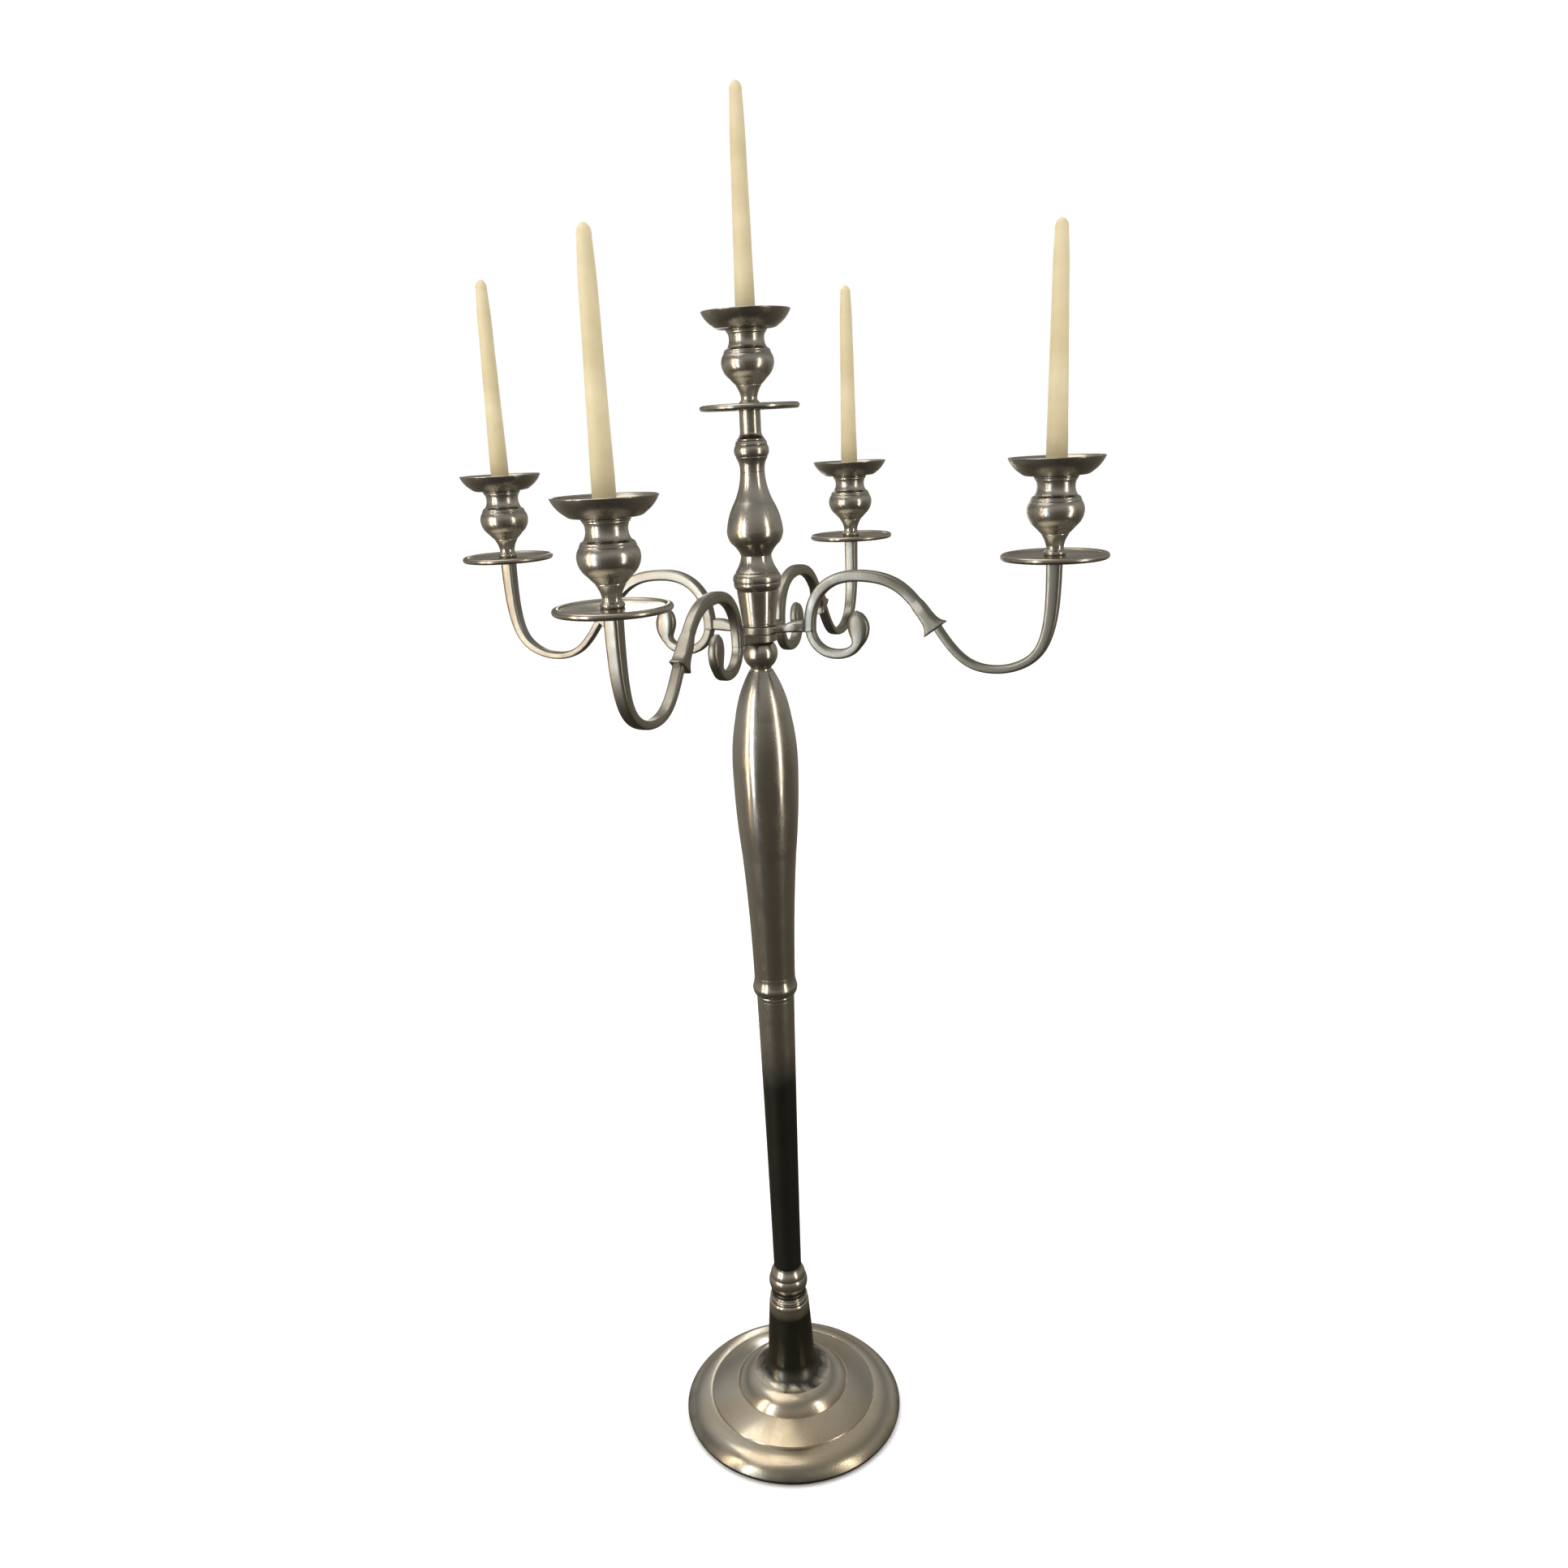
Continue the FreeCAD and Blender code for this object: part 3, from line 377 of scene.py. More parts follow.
def polished_metal(name, axis=(0, 0), rings=1.0, band_of_tarnish_and_painted_shade=None, worn=0.0, shade=0.0,
                   light=METAL_LIGHT, warm=METAL_WARM):
    """White metal: lathe rings about an axis, smears, fine scratches and painted dark bands.

    The dark band is (light below, dark from, dark to, light above), four rising levels in metres.
    worn roughens the polish; shade darkens the colour all over as painted shade, and faces that
    look down get painted shade too. The colour wanders from light to warm.
    """
    finish = Finish(name)
    spot = finish.spot(axis)
    x, y, z = finish.split(spot)
    reach = (x * x + y * y) ** 0.5
    ring_place = finish.node("ShaderNodeCombineXYZ", sockets={"X": reach, "Z": z})
    fine_rings = finish.noise(ring_place, 950.0, 2.0)
    broad_rings = finish.noise(ring_place, 130.0, 3.0)
    smears = finish.noise(spot, 14.0, 4.0, 0.6, 0.8)
    clouds = finish.noise(spot, 5.0, 3.0)
    streaks = finish.node("ShaderNodeMapping", sockets={"Vector": spot, "Scale": (1, 1, 0.08)})
    scratches = finish.noise(streaks, 620.0, 4.0, 0.7)
    pits = finish.noise(spot, 320.0, 2.0)

    warmth = finish.clamp(clouds * 0.6 + smears * 0.4, 0.38, 0.66)
    colour = finish.between(warmth, light, warm)
    specks = finish.clamp(pits, 0.66, 0.78)
    # shade darkens the colour all over: painted shade, a darker copy of the same metal.
    dark = specks * 0.12 + (smears * 0.5 + 0.75) * shade
    # A band between two levels is darkened: painted shade and painted dark reflection, partly real
    # tarnishing on the neck only.
    if band_of_tarnish_and_painted_shade:
        level = z + (smears - 0.5) * 0.03
        rising = finish.clamp(level, band_of_tarnish_and_painted_shade[0], band_of_tarnish_and_painted_shade[1])
        falling = finish.clamp(level, band_of_tarnish_and_painted_shade[2], band_of_tarnish_and_painted_shade[3], 1.0, 0.0)
        dark = dark + rising * falling * 0.92
    # Faces that look down are darkened: painted shade under things.
    down = finish.split(finish.node("ShaderNodeTexCoord", out=1))[2]
    dark = dark + finish.clamp(down + (smears - 0.5) * 0.4, -0.95, -0.35, 0.45, 0.0)
    dark = finish.clamp(dark, 0.0, 1.0)
    # The colour goes towards the dark colour by the specks and by all the painted shade above.
    colour_with_tarnish_and_painted_shade = finish.node("ShaderNodeMix", {"data_type": "RGBA"}, {
        "Factor_Float": dark, "A_Color": colour, "B_Color": (*METAL_DARK_OF_TARNISH_AND_PAINTED_SHADE, 1)}, out=2)
    rough = (0.15 + worn + finish.clamp(smears, 0.35, 0.72) * 0.14 + broad_rings * 0.05
             + finish.clamp(scratches, 0.5, 0.8) * 0.06 + dark * 0.12)
    height = (fine_rings * (0.35 * rings) + broad_rings * (0.9 * rings)
              + scratches * 0.18 + pits * 0.12)
    finish.plug(finish.shader, {
        "Base Color": colour_with_tarnish_and_painted_shade, "Metallic": 1.0, "Roughness": rough,
        "Specular Tint": EDGE_TINT, "Normal": finish.bump(height, 0.045 * MM, 0.5)})
    return finish.material


stem_metal = polished_metal("stem_metal")
stem_foot_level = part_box("lower_stem")[0].z
neck_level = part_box("base_neck")[0].z
# The lower stem's dark band is a painted reflection of a dark floor near the base.
stem_painted_reflection = polished_metal("stem_metal_painted_reflection", worn=0.04, band_of_tarnish_and_painted_shade=(
    stem_foot_level - 0.02, stem_foot_level - 0.01,
    stem_foot_level + 0.285, stem_foot_level + 0.345))
# The neck's dark band is partly real tarnishing and partly a painted dark reflection; its lighter
# colours are painted light.
neck_tarnish_and_painted_reflection = polished_metal("neck_metal_tarnish_and_painted_reflection", worn=-0.02, band_of_tarnish_and_painted_shade=(
    neck_level - 0.001, neck_level + 0.005, neck_level + 0.100, neck_level + 0.109),
    light=FOOT_LIGHT_PAINTED_BRIGHTER, warm=FOOT_WARM_PAINTED_BRIGHTER)
# A dark band low on the stem foot, round its groove: painted shade.
foot_metal = polished_metal("stem_foot_metal", band_of_tarnish_and_painted_shade=(
    stem_foot_level - 0.050, stem_foot_level - 0.049, stem_foot_level - 0.038,
    stem_foot_level - 0.030))
# The base's lower rim gets a dark band, painted shade where it meets the floor; shade 0.04 is
# painted shade and its lighter colours are painted light.
base_metal = polished_metal("base_metal", rings=1.0, worn=-0.02, shade=0.04, band_of_tarnish_and_painted_shade=(
    -0.1, -0.09, 0.002, 0.020), light=FOOT_LIGHT_PAINTED_BRIGHTER, warm=FOOT_WARM_PAINTED_BRIGHTER)
# The arms and rings are a darker copy of the same metal: shade 0.32 is painted shade.
cast_metal = polished_metal("arm_metal", rings=0.0, worn=0.08, shade=0.32)
light_metal = {side: polished_metal(side + "_light_metal", seat(side + "_candle_cup")[:2])
               for side in SIDES}

# %% [markdown]
# ## Wax, felt, plated steel and brass
# The candles are dipped ivory wax: light goes a little way in, so it is a subsurface finish with a
# satin skin. The pads are felt, the rod, nut and studs are plated steel, and the sleeve at the
# hub is turned brass. Those are seen only from below or when the part is taken down.


# %% The other finishes
def candle_wax(name, axis):
    """Ivory wax, a little mottled, with faint dipping ridges and a satin skin."""
    finish = Finish(name)
    spot = finish.spot(axis)
    mottle = finish.noise(spot, 22.0, 4.0, 0.55)
    fine = finish.noise(spot, 240.0, 2.0)
    long_place = finish.node("ShaderNodeMapping", sockets={"Vector": spot, "Scale": (1, 1, 0.15)})
    ridges = finish.noise(long_place, 95.0, 2.0)
    colour = finish.between(finish.clamp(mottle, 0.36, 0.66),
                            (0.63, 0.55, 0.355), (0.55, 0.465, 0.28))
    rough = 0.38 + mottle * 0.16 + fine * 0.06
    finish.plug(finish.shader, {
        "Base Color": colour, "Roughness": rough, "Subsurface Weight": 0.22,
        "Subsurface Radius": (0.9, 0.55, 0.28), "Subsurface Scale": 0.006,
        "Specular IOR Level": 0.42,
        "Normal": finish.bump(mottle * 1.4 + ridges * 0.7 + fine * 0.15, 0.22 * MM, 0.7)})
    return finish.material


def pressed_felt():
    """Dark felt with short fibres."""
    finish = Finish("pad_felt")
    spot = finish.spot()
    fibres = finish.noise(spot, 900.0, 4.0, 0.7, 1.2)
    colour = finish.between(fibres, (0.035, 0.045, 0.03), (0.11, 0.125, 0.09))
    finish.plug(finish.shader, {"Base Color": colour, "Roughness": 0.82 + fibres * 0.15,
                                "Sheen Weight": 0.4,
                                "Normal": finish.bump(fibres, 0.25 * MM, 0.9)})
    return finish.material


def plain_metal(name, light, dark, rough_low, rough_high):
    """A small turned or plated part: brushed marks and mottled plating."""
    finish = Finish(name)
    spot = finish.spot()
    mottle = finish.noise(spot, 160.0, 3.0)
    marks = finish.noise(finish.node("ShaderNodeMapping", sockets={
        "Vector": spot, "Scale": (0.12, 0.12, 1)}), 1400.0, 3.0)
    finish.plug(finish.shader, {
        "Base Color": finish.between(mottle, light, dark), "Metallic": 1.0,
        "Roughness": finish.clamp(mottle * 0.6 + marks * 0.4, 0.3, 0.7, rough_low, rough_high),
        "Normal": finish.bump(marks + mottle * 0.5, 0.05 * MM, 0.7)})
    return finish.material


felt = pressed_felt()
steel = plain_metal("plated_steel", (0.60, 0.60, 0.61), (0.42, 0.42, 0.44), 0.22, 0.45)
brass = plain_metal("turned_brass", (0.80, 0.60, 0.28), (0.62, 0.43, 0.18), 0.18, 0.38)
for node_name, cad_node in frame["nodes"].items():
    slot_name = SLOT_OF[node_name]
    if slot_name in ("felt", "steel", "brass"):
        cad_node.data.materials.clear()
        cad_node.data.materials.append({"felt": felt, "steel": steel, "brass": brass}[slot_name])
print("finishes:", len(bpy.data.materials))

# %% [markdown]
# ## The base
# A wide shallow dome with two incised rings, a hump in the middle and a rim that rolls down to
# the floor. Underneath it is hollow. The steps run up the bore, out over the top, round the rim
# and back through the hollow.

# %% Turn the base
lathe("base_dome", [
    (0.033, 0.869), (0.033, 1.0), (0.356, 1.0),
    (0.441, 0.879, 0.503, 0.682), (0.509, 0.655), (0.516, 0.672),
    (0.634, 0.572, 0.751, 0.446), (0.7575, 0.420), (0.764, 0.436),
    (0.948, 0.262, 1.0, 0.107), (0.997, 0.045, 0.978, 0.008),
    (0.961, 0.0), (0.868, 0.0), (0.855, 0.15), (0.510, 0.52), (0.356, 0.869),
], base_metal, around=256, soft=0.35 * MM)

# %% [markdown]
# ## Neck, stem and rings
# These are threaded on the tie rod like beads. Each is turned on its own, and the fine dark
# lines between them are real joints: two soft corners that meet.

# %% Turn the pieces between the base and the hub
lathe("base_neck", [
    (0.093, 0.0), (0.998, 0.0), (1.0, 0.004),
    (0.717, 0.079, 0.602, 0.22), (0.565, 0.55, 0.508, 0.955),
    (0.497, 0.985, 0.478, 1.0), (0.093, 1.0),
], neck_tarnish_and_painted_reflection, around=192)
lathe("neck_ring", [
    (0.19, 0.0), (0.90, 0.0), (0.90, 0.08), (0.965, 0.16, 0.90, 0.25), (0.875, 0.29),
    (1.0, 0.44, 0.875, 0.60), (0.86, 0.66), (0.86, 0.93), (0.94, 1.0), (0.19, 1.0),
], stem_metal, soft=0.25 * MM)
lathe("stem_foot", [
    (0.19, 0.0), (0.89, 0.0), (0.895, 0.05), (0.86, 0.11, 0.895, 0.17), (0.91, 0.19),
    (1.0, 0.40, 0.93, 0.60), (0.915, 0.615), (0.905, 0.63), (0.87, 0.76, 0.79, 0.86),
    (0.74, 0.92, 0.714, 0.975), (0.712, 1.0), (0.19, 1.0),
], foot_metal, soft=0.4 * MM)
lathe("lower_stem", [
    (0.21, 0.0), (0.786, 0.0), (0.872, 0.5, 1.0, 1.0), (0.21, 1.0),
], stem_painted_reflection)
lathe("stem_ring", [
    (0.175, 0.0), (0.838, 0.0), (0.838, 0.10), (0.868, 0.14), (0.855, 0.20),
    (0.945, 0.27, 0.975, 0.36), (1.0, 0.48, 0.972, 0.60), (0.94, 0.72, 0.918, 0.86),
    (0.914, 1.0), (0.175, 1.0),
], stem_metal, soft=0.3 * MM)
lathe("upper_stem", [
    (0.125, 0.0), (0.651, 0.0), (0.714, 0.205, 0.840, 0.411),
    (0.955, 0.557, 1.0, 0.703), (0.963, 0.779, 0.848, 0.855),
    (0.676, 0.928, 0.388, 0.994), (0.36, 1.0), (0.125, 1.0),
], stem_metal)
lathe("knop_ball", [
    (0.24, 0.0), (0.62, 0.0), (0.60, 0.07, 0.655, 0.14), (1.0, 0.578, 0.68, 1.0),
    (0.24, 1.0),
], stem_metal, soft=0.3 * MM)
lathe("hub_washer", [
    (0.27, 0.0), (0.97, 0.0), (1.0, 0.5, 0.97, 1.0), (0.27, 1.0),
], stem_metal, soft=0.2 * MM)

# %% [markdown]
# ## The centre column
# Above the hub stand three pieces: a socket with a bead, a pear-shaped vase and a spindle that
# carries the highest light. Fine cut lines set off each bead.

# %% Turn the column
lathe("column_socket", [
    (0.18, 0.0), (0.70, 0.0), (0.868, 0.485), (0.850, 0.492), (0.876, 0.505),
    (0.955, 0.545, 0.985, 0.60), (0.97, 0.612), (0.992, 0.625),
    (0.985, 0.70, 0.905, 0.745), (0.875, 0.752), (0.89, 0.765),
    (0.70, 0.89, 0.633, 0.985), (0.630, 1.0), (0.18, 1.0),
], stem_metal, soft=0.25 * MM)
lathe("column_vase", [
    (0.152, 0.0), (0.545, 0.0), (0.56, 0.015), (0.666, 0.079, 0.864, 0.152),
    (0.976, 0.236, 1.0, 0.293), (0.919, 0.455, 0.696, 0.644),
    (0.497, 0.832, 0.431, 1.0), (0.152, 1.0),
], stem_metal)
lathe("column_spindle", [
    (0.0, 0.43), (0.25, 0.43), (0.25, 0.0), (0.704, 0.0), (0.705, 0.04),
    (0.79, 0.172, 0.905, 0.235), (0.885, 0.247), (0.925, 0.26),
    (1.0, 0.344, 0.93, 0.43), (0.90, 0.437), (0.915, 0.45), (0.86, 0.505),
    (0.80, 0.515), (0.79, 0.535), (0.66, 0.585, 0.601, 0.646), (0.601, 1.0), (0.20, 1.0),
    (0.20, 0.80), (0.0, 0.80),
], stem_metal, closed=False, soft=0.25 * MM)

# %% [markdown]
# ## The five lights
# Every light is the same set: a thin drip pan with a rolled edge, a cup on a turned bulb with a
# flaring dish, and a tapered candle in the dish's collar. One function turns a set wherever the
# frame has put it.


# %% Turn a drip pan, a cup and a candle
def turn_light(side):
    metal = light_metal[side]
    lathe(side + "_drip_pan", [
        (0.071, 0.0), (0.27, 0.0), (0.29, 0.06), (0.88, 0.10), (0.91, 0.0), (0.944, 0.0),
        (1.0, 0.5, 0.944, 1.0), (0.90, 0.97, 0.865, 0.72), (0.60, 0.62, 0.26, 0.676),
        (0.071, 0.676),
    ], metal, around=160, soft=0.5 * MM)
    lathe(side + "_candle_cup", [
        (0.0, 0.137), (0.08, 0.137), (0.08, 0.0), (0.214, 0.0), (0.238, 0.022, 0.214, 0.045),
        (0.186, 0.062), (0.186, 0.095), (0.222, 0.155, 0.290, 0.215), (0.286, 0.222),
        (0.300, 0.226), (0.36, 0.255, 0.43, 0.293), (0.555, 0.372, 0.593, 0.44),
        (0.585, 0.50, 0.540, 0.548), (0.530, 0.553), (0.535, 0.562), (0.52, 0.575),
        (0.512, 0.580), (0.512, 0.590), (0.445, 0.612), (0.395, 0.683, 0.418, 0.762),
        (0.440, 0.768), (0.440, 0.780), (0.455, 0.786), (0.465, 0.795), (0.455, 0.806),
        (0.63, 0.812), (0.69, 0.822, 0.745, 0.842), (0.89, 0.905, 1.0, 0.994),
        (0.99, 1.0), (0.952, 0.992), (0.80, 0.905, 0.63, 0.862), (0.285, 0.862),
        (0.277, 0.872), (0.277, 0.95), (0.2235, 0.95), (0.2235, 0.766), (0.0, 0.766),
    ], metal, around=160, closed=False, soft=0.3 * MM)
    x, y, foot, radius, height = seat(side + "_candle")
    points = outline([
        (0.0, 0.0), (0.985, 0.0), (1.0, 0.01), (1.0, 0.14), (0.865, 0.50),
        (0.775, 0.748), (0.71, 0.87, 0.60, 0.955), (0.47, 0.986, 0.12, 0.9998), (0.0, 1.0),
    ], radius, height, 1.6 * MM, closed=False)
    vertices, quads, fans = spun(points, (x, y), foot, 96, False)
    share = (vertices[:, 2] - foot) / height
    angle = np.arctan2(vertices[:, 1] - y, vertices[:, 0] - x)
    phase = SIDES.index(side)
    free = np.clip(share * 6 - 0.6, 0, 1)
    shrink = 1 - free * (0.007 * (1 + np.sin(angle * 2 + share * 9 + phase))
                         + 0.006 * (1 + np.sin(share * 24 + phase * 2)))
    vertices[:, 0] = x + (vertices[:, 0] - x) * shrink
    vertices[:, 1] = y + (vertices[:, 1] - y) * shrink
    candle = new_piece(side + "_candle_dipped", vertices, quads, fans)
    finish_piece(candle, side + "_candle", candle_wax(side + "_wax", (x, y)))


for side in SIDES:
    turn_light(side)

# %% [markdown]
# ## The arms
# Each arm is a casting of flat bar with softened edges. An arch rises from the lug and falls to a
# flared knuckle, a scroll curls under it and ends in a leaf, and a deep bow comes out of the
# knuckle and climbs to the drip pan, growing thicker on its way up. A bar is a
# rounded-square section carried along a smooth curve, and its width and thickness change along
# the way.

# %% Smooth curves and swept bars
ARM_RISE = 77.4 * MM
BAR_SQUARENESS = 4.5


def smooth_curve(poles, share):
    """Points of a clamped cubic B-spline at shares 0..1 of its way, by the Cox-de Boor rule.

    N(i,0) is 1 between knots i and i+1, and N(i,k) is the weighted sum of N(i,k-1), N(i+1,k-1).
    """
    poles = np.asarray(poles, float)
    spans = len(poles) - 3
    knots = np.concatenate([np.zeros(3), np.linspace(0, 1, spans + 1), np.ones(3)])
    t = np.clip(np.asarray(share, float), 0, 1 - 1e-9)[:, None]
    basis = ((knots[:-1] <= t) & (t < knots[1:])).astype(float)
    for degree in (1, 2, 3):
        count = len(knots) - 1 - degree
        rise = knots[degree:degree + count] - knots[:count]
        fall = knots[degree + 1:degree + 1 + count] - knots[1:1 + count]
        up = np.divide(t - knots[:count], rise, out=np.zeros((len(t), count)), where=rise > 0)
        down = np.divide(knots[degree + 1:degree + 1 + count] - t, fall,
                         out=np.zeros((len(t), count)), where=fall > 0)
        basis = up * basis[:, :count] + down * basis[:, 1:count + 1]
    return basis @ poles


def swept_bar(line, thick, wide, square, around=48):
    """Vertices and faces of a bar along a plane curve (reach, level), closed at both ends.

    The section is |u/thick|^n + |v/wide|^n = 1, with u across the curve in its plane and v
    square to the plane, and n the squareness. Each end is drawn in over three short rows.
    """
    line, thick, wide = np.asarray(line), np.asarray(thick), np.asarray(wide)
    square = np.broadcast_to(square, thick.shape)
    way = np.gradient(line, axis=0)
    way /= np.linalg.norm(way, axis=1, keepdims=True)
    side_way = np.stack([-way[:, 1], way[:, 0]], axis=1)
    edge = min(1.2 * MM, thick[0] * 0.3, thick[-1] * 0.3)
    lead = np.array([0.0, 0.35, 1.0]) * edge
    trim = edge - np.sqrt(edge ** 2 - (edge - lead) ** 2)
    start = line[:1] + way[:1] * (lead[:, None] - edge)
    stop = line[-1:] - way[-1:] * (lead[::-1, None] - edge)
    line = np.concatenate([start[:-1], line, stop[1:]])
    side_way = np.concatenate([side_way[:1].repeat(2, 0), side_way, side_way[-1:].repeat(2, 0)])
    thick = np.concatenate([thick[0] - trim[:-1], thick, thick[-1] - trim[::-1][1:]])
    wide = np.concatenate([wide[0] - trim[:-1], wide, wide[-1] - trim[::-1][1:]])
    square = np.concatenate([square[:1].repeat(2), square, square[-1:].repeat(2)])
    angle = np.linspace(0, 2 * math.pi, around, endpoint=False)
    power = 2 / square[:, None]
    u = np.sign(np.cos(angle)) * np.abs(np.cos(angle)) ** power * thick[:, None]
    v = np.sign(np.sin(angle)) * np.abs(np.sin(angle)) ** power * wide[:, None]
    place = line[:, None, :] + u[..., None] * side_way[:, None, :]
    vertices = np.stack([place[..., 0], v, place[..., 1]], axis=-1).reshape(-1, 3)
    rows = len(line)
    ends = np.array([[line[0, 0], 0, line[0, 1]], [line[-1, 0], 0, line[-1, 1]]])
    return (np.concatenate([vertices, ends]), grid_faces(rows, around, False),
            end_fans(rows, around))


def joined(parts):
    """One set of vertices, quads and triangles from several closed shells."""
    vertices, quads, fans, start = [], [], [], 0
    for part_vertices, part_quads, part_fans in parts:
        vertices.append(part_vertices)
        quads.append(part_quads + start)
        fans += [fan + start for fan in part_fans]
        start += len(part_vertices)
    return np.concatenate(vertices), np.concatenate(quads), fans


def turned_about_axis(vertices, angle, level):
    """Vertices (reach, across, rise) turned about the stem by an angle and raised to a level."""
    c, s = math.cos(angle), math.sin(angle)
    x = vertices[:, 0] * c - vertices[:, 1] * s
    y = vertices[:, 0] * s + vertices[:, 1] * c
    return np.stack([x, y, vertices[:, 2] + level], axis=1)


def ramp(share, low, high):
    """0 below low, 1 above high and a smooth s-curve 3t^2 - 2t^3 between."""
    t = np.clip((share - low) / (high - low), 0, 1)
    return t * t * (3 - 2 * t)


# %% The arm's shape, in reach and rise from the lug's middle
ARCH = [(65, -6), (65, 14), (72, 38.1), (98, 58.5), (138, 60.5), (178, 51), (200, 22), (216, 0)]
SCROLL = [(65, 6), (65, -10), (74, -26.1), (92, -33.5), (114, -31.5), (127, -19), (126, 0),
          (121.5, 17.5)]
BOW_IN = [(217, 4), (229, -14), (248, -38), (278, -46.5), (308, -43)]


def arm_shells(reach, boss_top):
    """The closed shells of one arm: arch, scroll with its leaf, knuckle, and bow."""
    share = np.linspace(0, 1, 90)
    one = np.ones_like(share)
    arch_line = smooth_curve(ARCH, share) * MM
    arch = swept_bar(arch_line, 6.7 * MM * one, 6.2 * MM * one, BAR_SQUARENESS)

    scroll_line = smooth_curve(SCROLL, share) * MM
    leaf = ramp(share, 0.72, 0.93)
    close = np.sqrt(1 - np.clip((share - 0.91) / 0.092, 0, 1) ** 2.4)
    scroll = swept_bar(scroll_line, (5.6 + 7.4 * leaf) * close * MM,
                       (6.0 + 0.9 * leaf) * close ** 0.5 * MM, BAR_SQUARENESS - 1.5 * leaf)

    tail = np.linspace(0.88, 1.0, 40)
    knuckle_line = smooth_curve(ARCH, tail) * MM
    grow = (tail - tail[0]) / (tail[-1] - tail[0])
    knuckle = swept_bar(knuckle_line, (6.3 + 1.0 * ramp(grow, 0, 0.3) + 7.6 * grow ** 8) * MM,
                        (6.1 + 1.9 * ramp(grow, 0, 0.5)) * MM, 6.0)

    bow_poles = BOW_IN + [(reach / MM - 14, -27.5), (reach / MM - 3.2, 2),
                          (reach / MM, 35), (reach / MM, boss_top / MM)]
    bow_share = np.linspace(0, 1, 130)
    climb = np.clip((bow_share - 0.36) / 0.64, 0, 1) ** 1.5
    bow = swept_bar(smooth_curve(bow_poles, bow_share) * MM,
                    (4.4 + 3.9 * climb) * MM, (6.4 + 1.8 * climb) * MM, BAR_SQUARENESS)
    return [arch, scroll, knuckle, bow]


def boss_shell(reach, boss_top):
    """The small turned seat under the drip pan."""
    steps = [(0.0, 0.0), (9.6, 0.0), (10.4, 1.5, 10.0, 3.0), (0.0, 3.0)]
    points = outline(steps, MM, MM, 0.4 * MM, closed=False)
    return spun(points, (reach, 0.0), boss_top - 3 * MM, 64, False)


# %% Build the four arms and the two rings
def build_arm(side):
    """One arm, turned to the side on which the frame has its drip pan."""
    x, y, pan_foot, _, _ = seat(side + "_drip_pan")
    reach = math.hypot(x, y)
    level = pan_foot - ARM_RISE
    vertices, quads, fans = joined(arm_shells(reach, ARM_RISE) + [boss_shell(reach, ARM_RISE)])
    vertices = turned_about_axis(vertices, math.atan2(y, x), level)
    arm = new_piece(side + "_arm_cast", vertices, quads, fans)
    print("%-22s reach %.1f mm, %d faces" % (side + " arm", reach / MM, len(arm.data.polygons)))
    return finish_piece(arm, side + "_arm", cast_metal)


def build_ring(node, turn):
    """An arm pair's ring with a lug to each side, turned to its pair's line."""
    low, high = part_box(node)
    lug_reach = max(high.x, high.y)
    ring_radius = min(high.x, high.y)
    ring_height = 9 * MM
    lug_height = 14 * MM
    hole = 9.06 * MM
    points = outline([(hole, 0.0), (ring_radius, 0.0), (ring_radius, ring_height),
                      (hole, ring_height)], 1.0, 1.0, 0.9 * MM)
    shells = [spun(points, (0, 0), low.z, 128, True)]
    share = np.linspace(0, 1, 24)
    inner, outer = 15 * MM, lug_reach
    line = np.stack([inner + (outer - inner) * share,
                     4.5 * MM + 5.0 * MM * ramp(share, 0.12, 0.9)], axis=1)
    tall = (3.9 * MM) + (lug_height / 2 - 3.9 * MM) * ramp(share, 0.22, 0.8)
    wide = 6.9 * MM - 0.9 * MM * share
    lug = swept_bar(line, tall, wide, 5.0)
    for angle in (0, math.pi):
        vertices = turned_about_axis(lug[0], turn + angle, low.z)
        shells.append((vertices, lug[1], lug[2]))
    ring = new_piece(node + "_cast", *joined(shells))
    return finish_piece(ring, node, cast_metal)


for side in ARM_SIDES:
    build_arm(side)
build_ring("upper_arm_ring", 0.0)
build_ring("lower_arm_ring", math.pi / 2)

# %% [markdown]
# ## Studio
# A pale floor under a white dome, and tall soft lamps. Polished metal shows what stands round it,
# and in an all-white studio it would look like chalk. So the metal doesn't mirror the floor or
# the dome. It mirrors a dim room instead, which gives it depth, and the tall lamps draw the
# bright lines down the stem.


# %% Floor, surround, lights
def surround():
    """A dim room for the metal to reflect, darker below and on one side."""
    world = bpy.data.worlds.new("studio_surround")
    world.use_nodes = True
    bpy.context.scene.world = world
    maker = Maker(world.node_tree)
    facing = maker.node("ShaderNodeVectorMath", {"operation": "DOT_PRODUCT"}, {
        0: maker.node("ShaderNodeTexCoord"), 1: (-0.22, 0.18, 0.75)}, out=1)
    stops = [(0.0, (0.045, 0.040, 0.034)), (0.32, (0.13, 0.115, 0.095)),
             (0.50, (0.30, 0.285, 0.26)), (0.62, (0.36, 0.355, 0.345)),
             (0.78, (0.20, 0.20, 0.20)), (1.0, (0.62, 0.60, 0.57))]
    shades = maker.node("ShaderNodeValToRGB", {"stops": stops}, {0: facing * 0.6 + 0.5})
    maker.plug(world.node_tree.nodes["Background"], {"Color": shades})


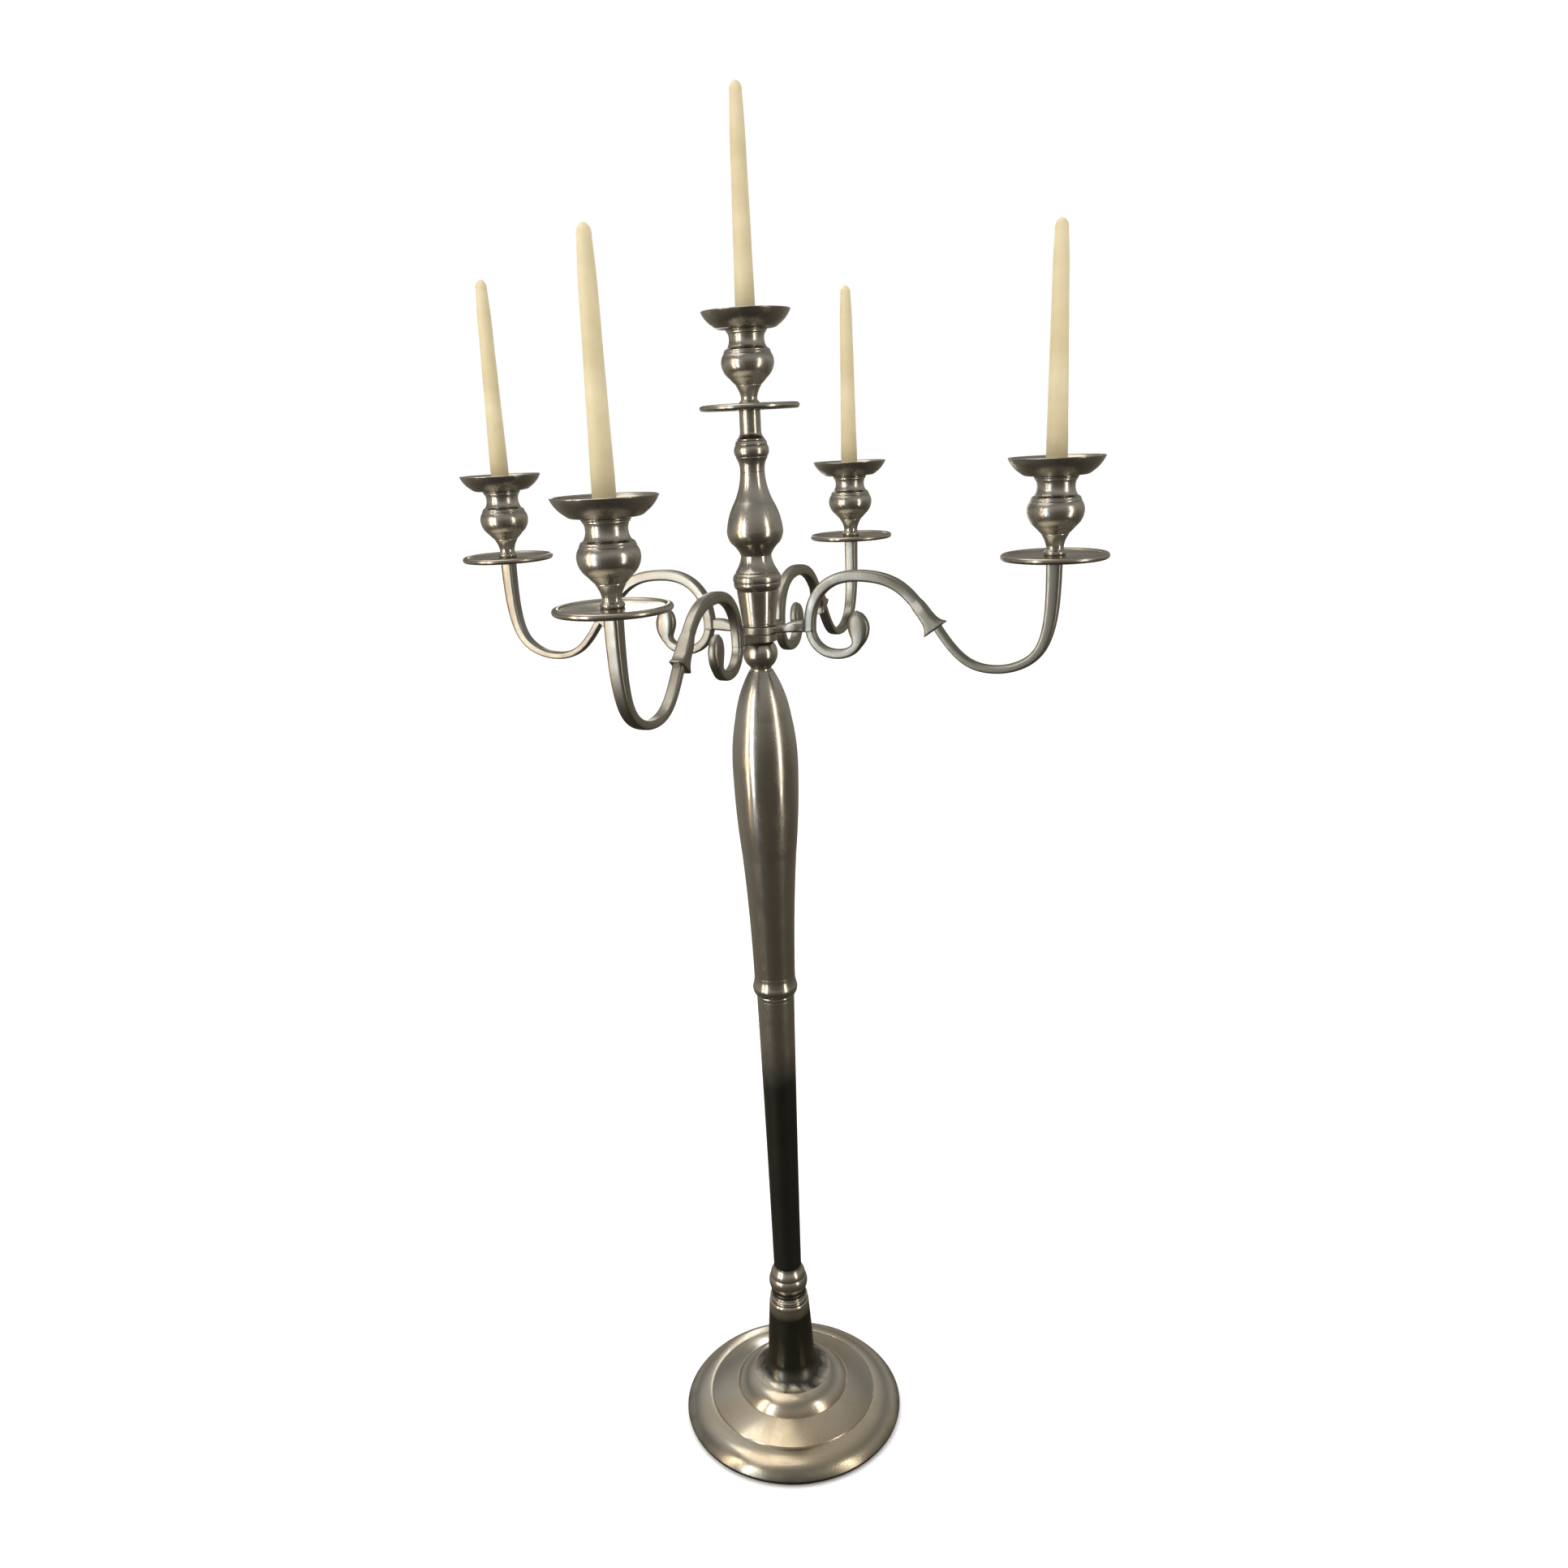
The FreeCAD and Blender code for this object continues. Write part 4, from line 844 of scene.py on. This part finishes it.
def backdrop():
    """A white dome that is seen behind the candelabrum and isn't reflected in it."""
    sunk = -0.5
    points = outline([(38.0, 0.0), (27.0, 27.0, 0.0, 38.0)], 1, 1, 0.1, closed=False)
    points = np.concatenate([[[0.0, sunk]], points[1:]])
    vertices, quads, fans = spun(points, (0, 0), sunk, 96, False)
    dome = new_piece("studio_backdrop", vertices, quads, fans)
    finish = Finish("studio_backdrop_glow")
    finish.plug(finish.shader, {"Base Color": (0, 0, 0, 1), "Emission Color": (1, 1, 1, 1),
                                "Emission Strength": 1.0, "Roughness": 1.0})
    dome.data.materials.append(finish.material)
    dome.visible_glossy = False
    dome.visible_diffuse = False
    dome.visible_transmission = False
    dome.visible_shadow = False


def lamp(name, place, aim, width, height, power, colour):
    """A soft rectangular lamp that lights and is reflected, and isn't itself seen."""
    data = bpy.data.lights.new(name, "AREA")
    data.shape = "RECTANGLE"
    data.size, data.size_y = width, height
    data.energy = power
    data.color = colour
    light = bpy.data.objects.new(name, data)
    way = Vector(aim) - Vector(place)
    turn = way.to_track_quat("-Z", "Y").to_matrix().to_4x4()
    light.matrix_world = Matrix.Translation(place) @ turn
    light.visible_camera = False
    bpy.context.scene.collection.objects.link(light)


def studio():
    """Floor, surround and lamps."""
    span = 36.0
    corners = np.array([(-1, -1), (1, -1), (1, 1), (-1, 1)]) * span
    vertices = np.column_stack([corners, np.zeros(4)])
    floor = new_piece("studio_floor", vertices, np.array([[0, 1, 2, 3]]))
    finish = Finish("studio_floor_paint")
    cloud = finish.noise(finish.spot(), 3.0, 2.0)
    finish.plug(finish.shader, {
        "Base Color": finish.between(cloud, (0.94, 0.94, 0.935), (0.93, 0.93, 0.925)),
        "Roughness": 0.85})
    floor.data.materials.append(finish.material)
    floor.visible_glossy = False
    surround()
    backdrop()
    lamp("warm_strip", (-1.75, -1.9, 1.2), (0, 0, 1.2), 0.16, 2.3, 16, (1.0, 0.78, 0.55))
    lamp("cool_strip", (-1.05, -2.4, 1.2), (0, 0, 1.2), 0.18, 2.3, 20, (0.82, 0.91, 1.0))
    lamp("right_strip", (2.5, -0.6, 1.2), (0, 0, 1.2), 0.22, 2.3, 14, (1.0, 0.93, 0.84))
    lamp("back_strip", (-1.4, 2.3, 1.2), (0, 0, 1.2), 0.22, 2.3, 5, (0.95, 0.97, 1.0))
    lamp("top_light", (-0.8, -0.6, 3.6), (0, 0, 0.2), 2.2, 2.2, 20, (1.0, 0.94, 0.86))
    sky_data = bpy.data.lights.new("ceiling_glow", "SUN")
    sky_data.energy = 2.7
    sky_data.angle = math.radians(110)
    sky = bpy.data.objects.new("ceiling_glow", sky_data)
    sky.visible_glossy = False
    bpy.context.scene.collection.objects.link(sky)


# %% [markdown]
# ## Camera
# The camera stands about a metre and a half away, a little lower than the middle cup, and looks
# down at the stem. It is tipped slightly to one side.

# %% Camera
CAMERA_TURN = math.radians(23.117)
CAMERA_REACH = 1.485
CAMERA_LEVEL = 1.36845
CAMERA_PITCH = math.radians(16.327)
CAMERA_ROLL = math.radians(-2.777)
CAMERA_YAW = math.radians(-0.8217)
CAMERA_LENS = 28.517
CAMERA_SHIFT = (0.0221, 0.0026)


def place_camera():
    heading = CAMERA_YAW - CAMERA_TURN
    way = Vector((math.sin(heading) * math.cos(CAMERA_PITCH),
                  math.cos(heading) * math.cos(CAMERA_PITCH), -math.sin(CAMERA_PITCH)))
    level_right = Vector((math.cos(heading), -math.sin(heading), 0))
    level_up = level_right.cross(way)
    right = math.cos(CAMERA_ROLL) * level_right + math.sin(CAMERA_ROLL) * level_up
    up = -math.sin(CAMERA_ROLL) * level_right + math.cos(CAMERA_ROLL) * level_up
    data = bpy.data.cameras.new("camera")
    data.sensor_width = 36
    data.lens = CAMERA_LENS
    data.shift_x, data.shift_y = CAMERA_SHIFT
    camera = bpy.data.objects.new("camera", data)
    turn = Matrix((right, up, -way)).transposed().to_4x4()
    place = Vector((CAMERA_REACH * math.sin(CAMERA_TURN), -CAMERA_REACH * math.cos(CAMERA_TURN),
                    CAMERA_LEVEL))
    camera.matrix_world = Matrix.Translation(place) @ turn
    bpy.context.scene.collection.objects.link(camera)
    bpy.context.scene.camera = camera


place_camera()
studio()
bpy.context.scene.view_settings.view_transform = "Standard"
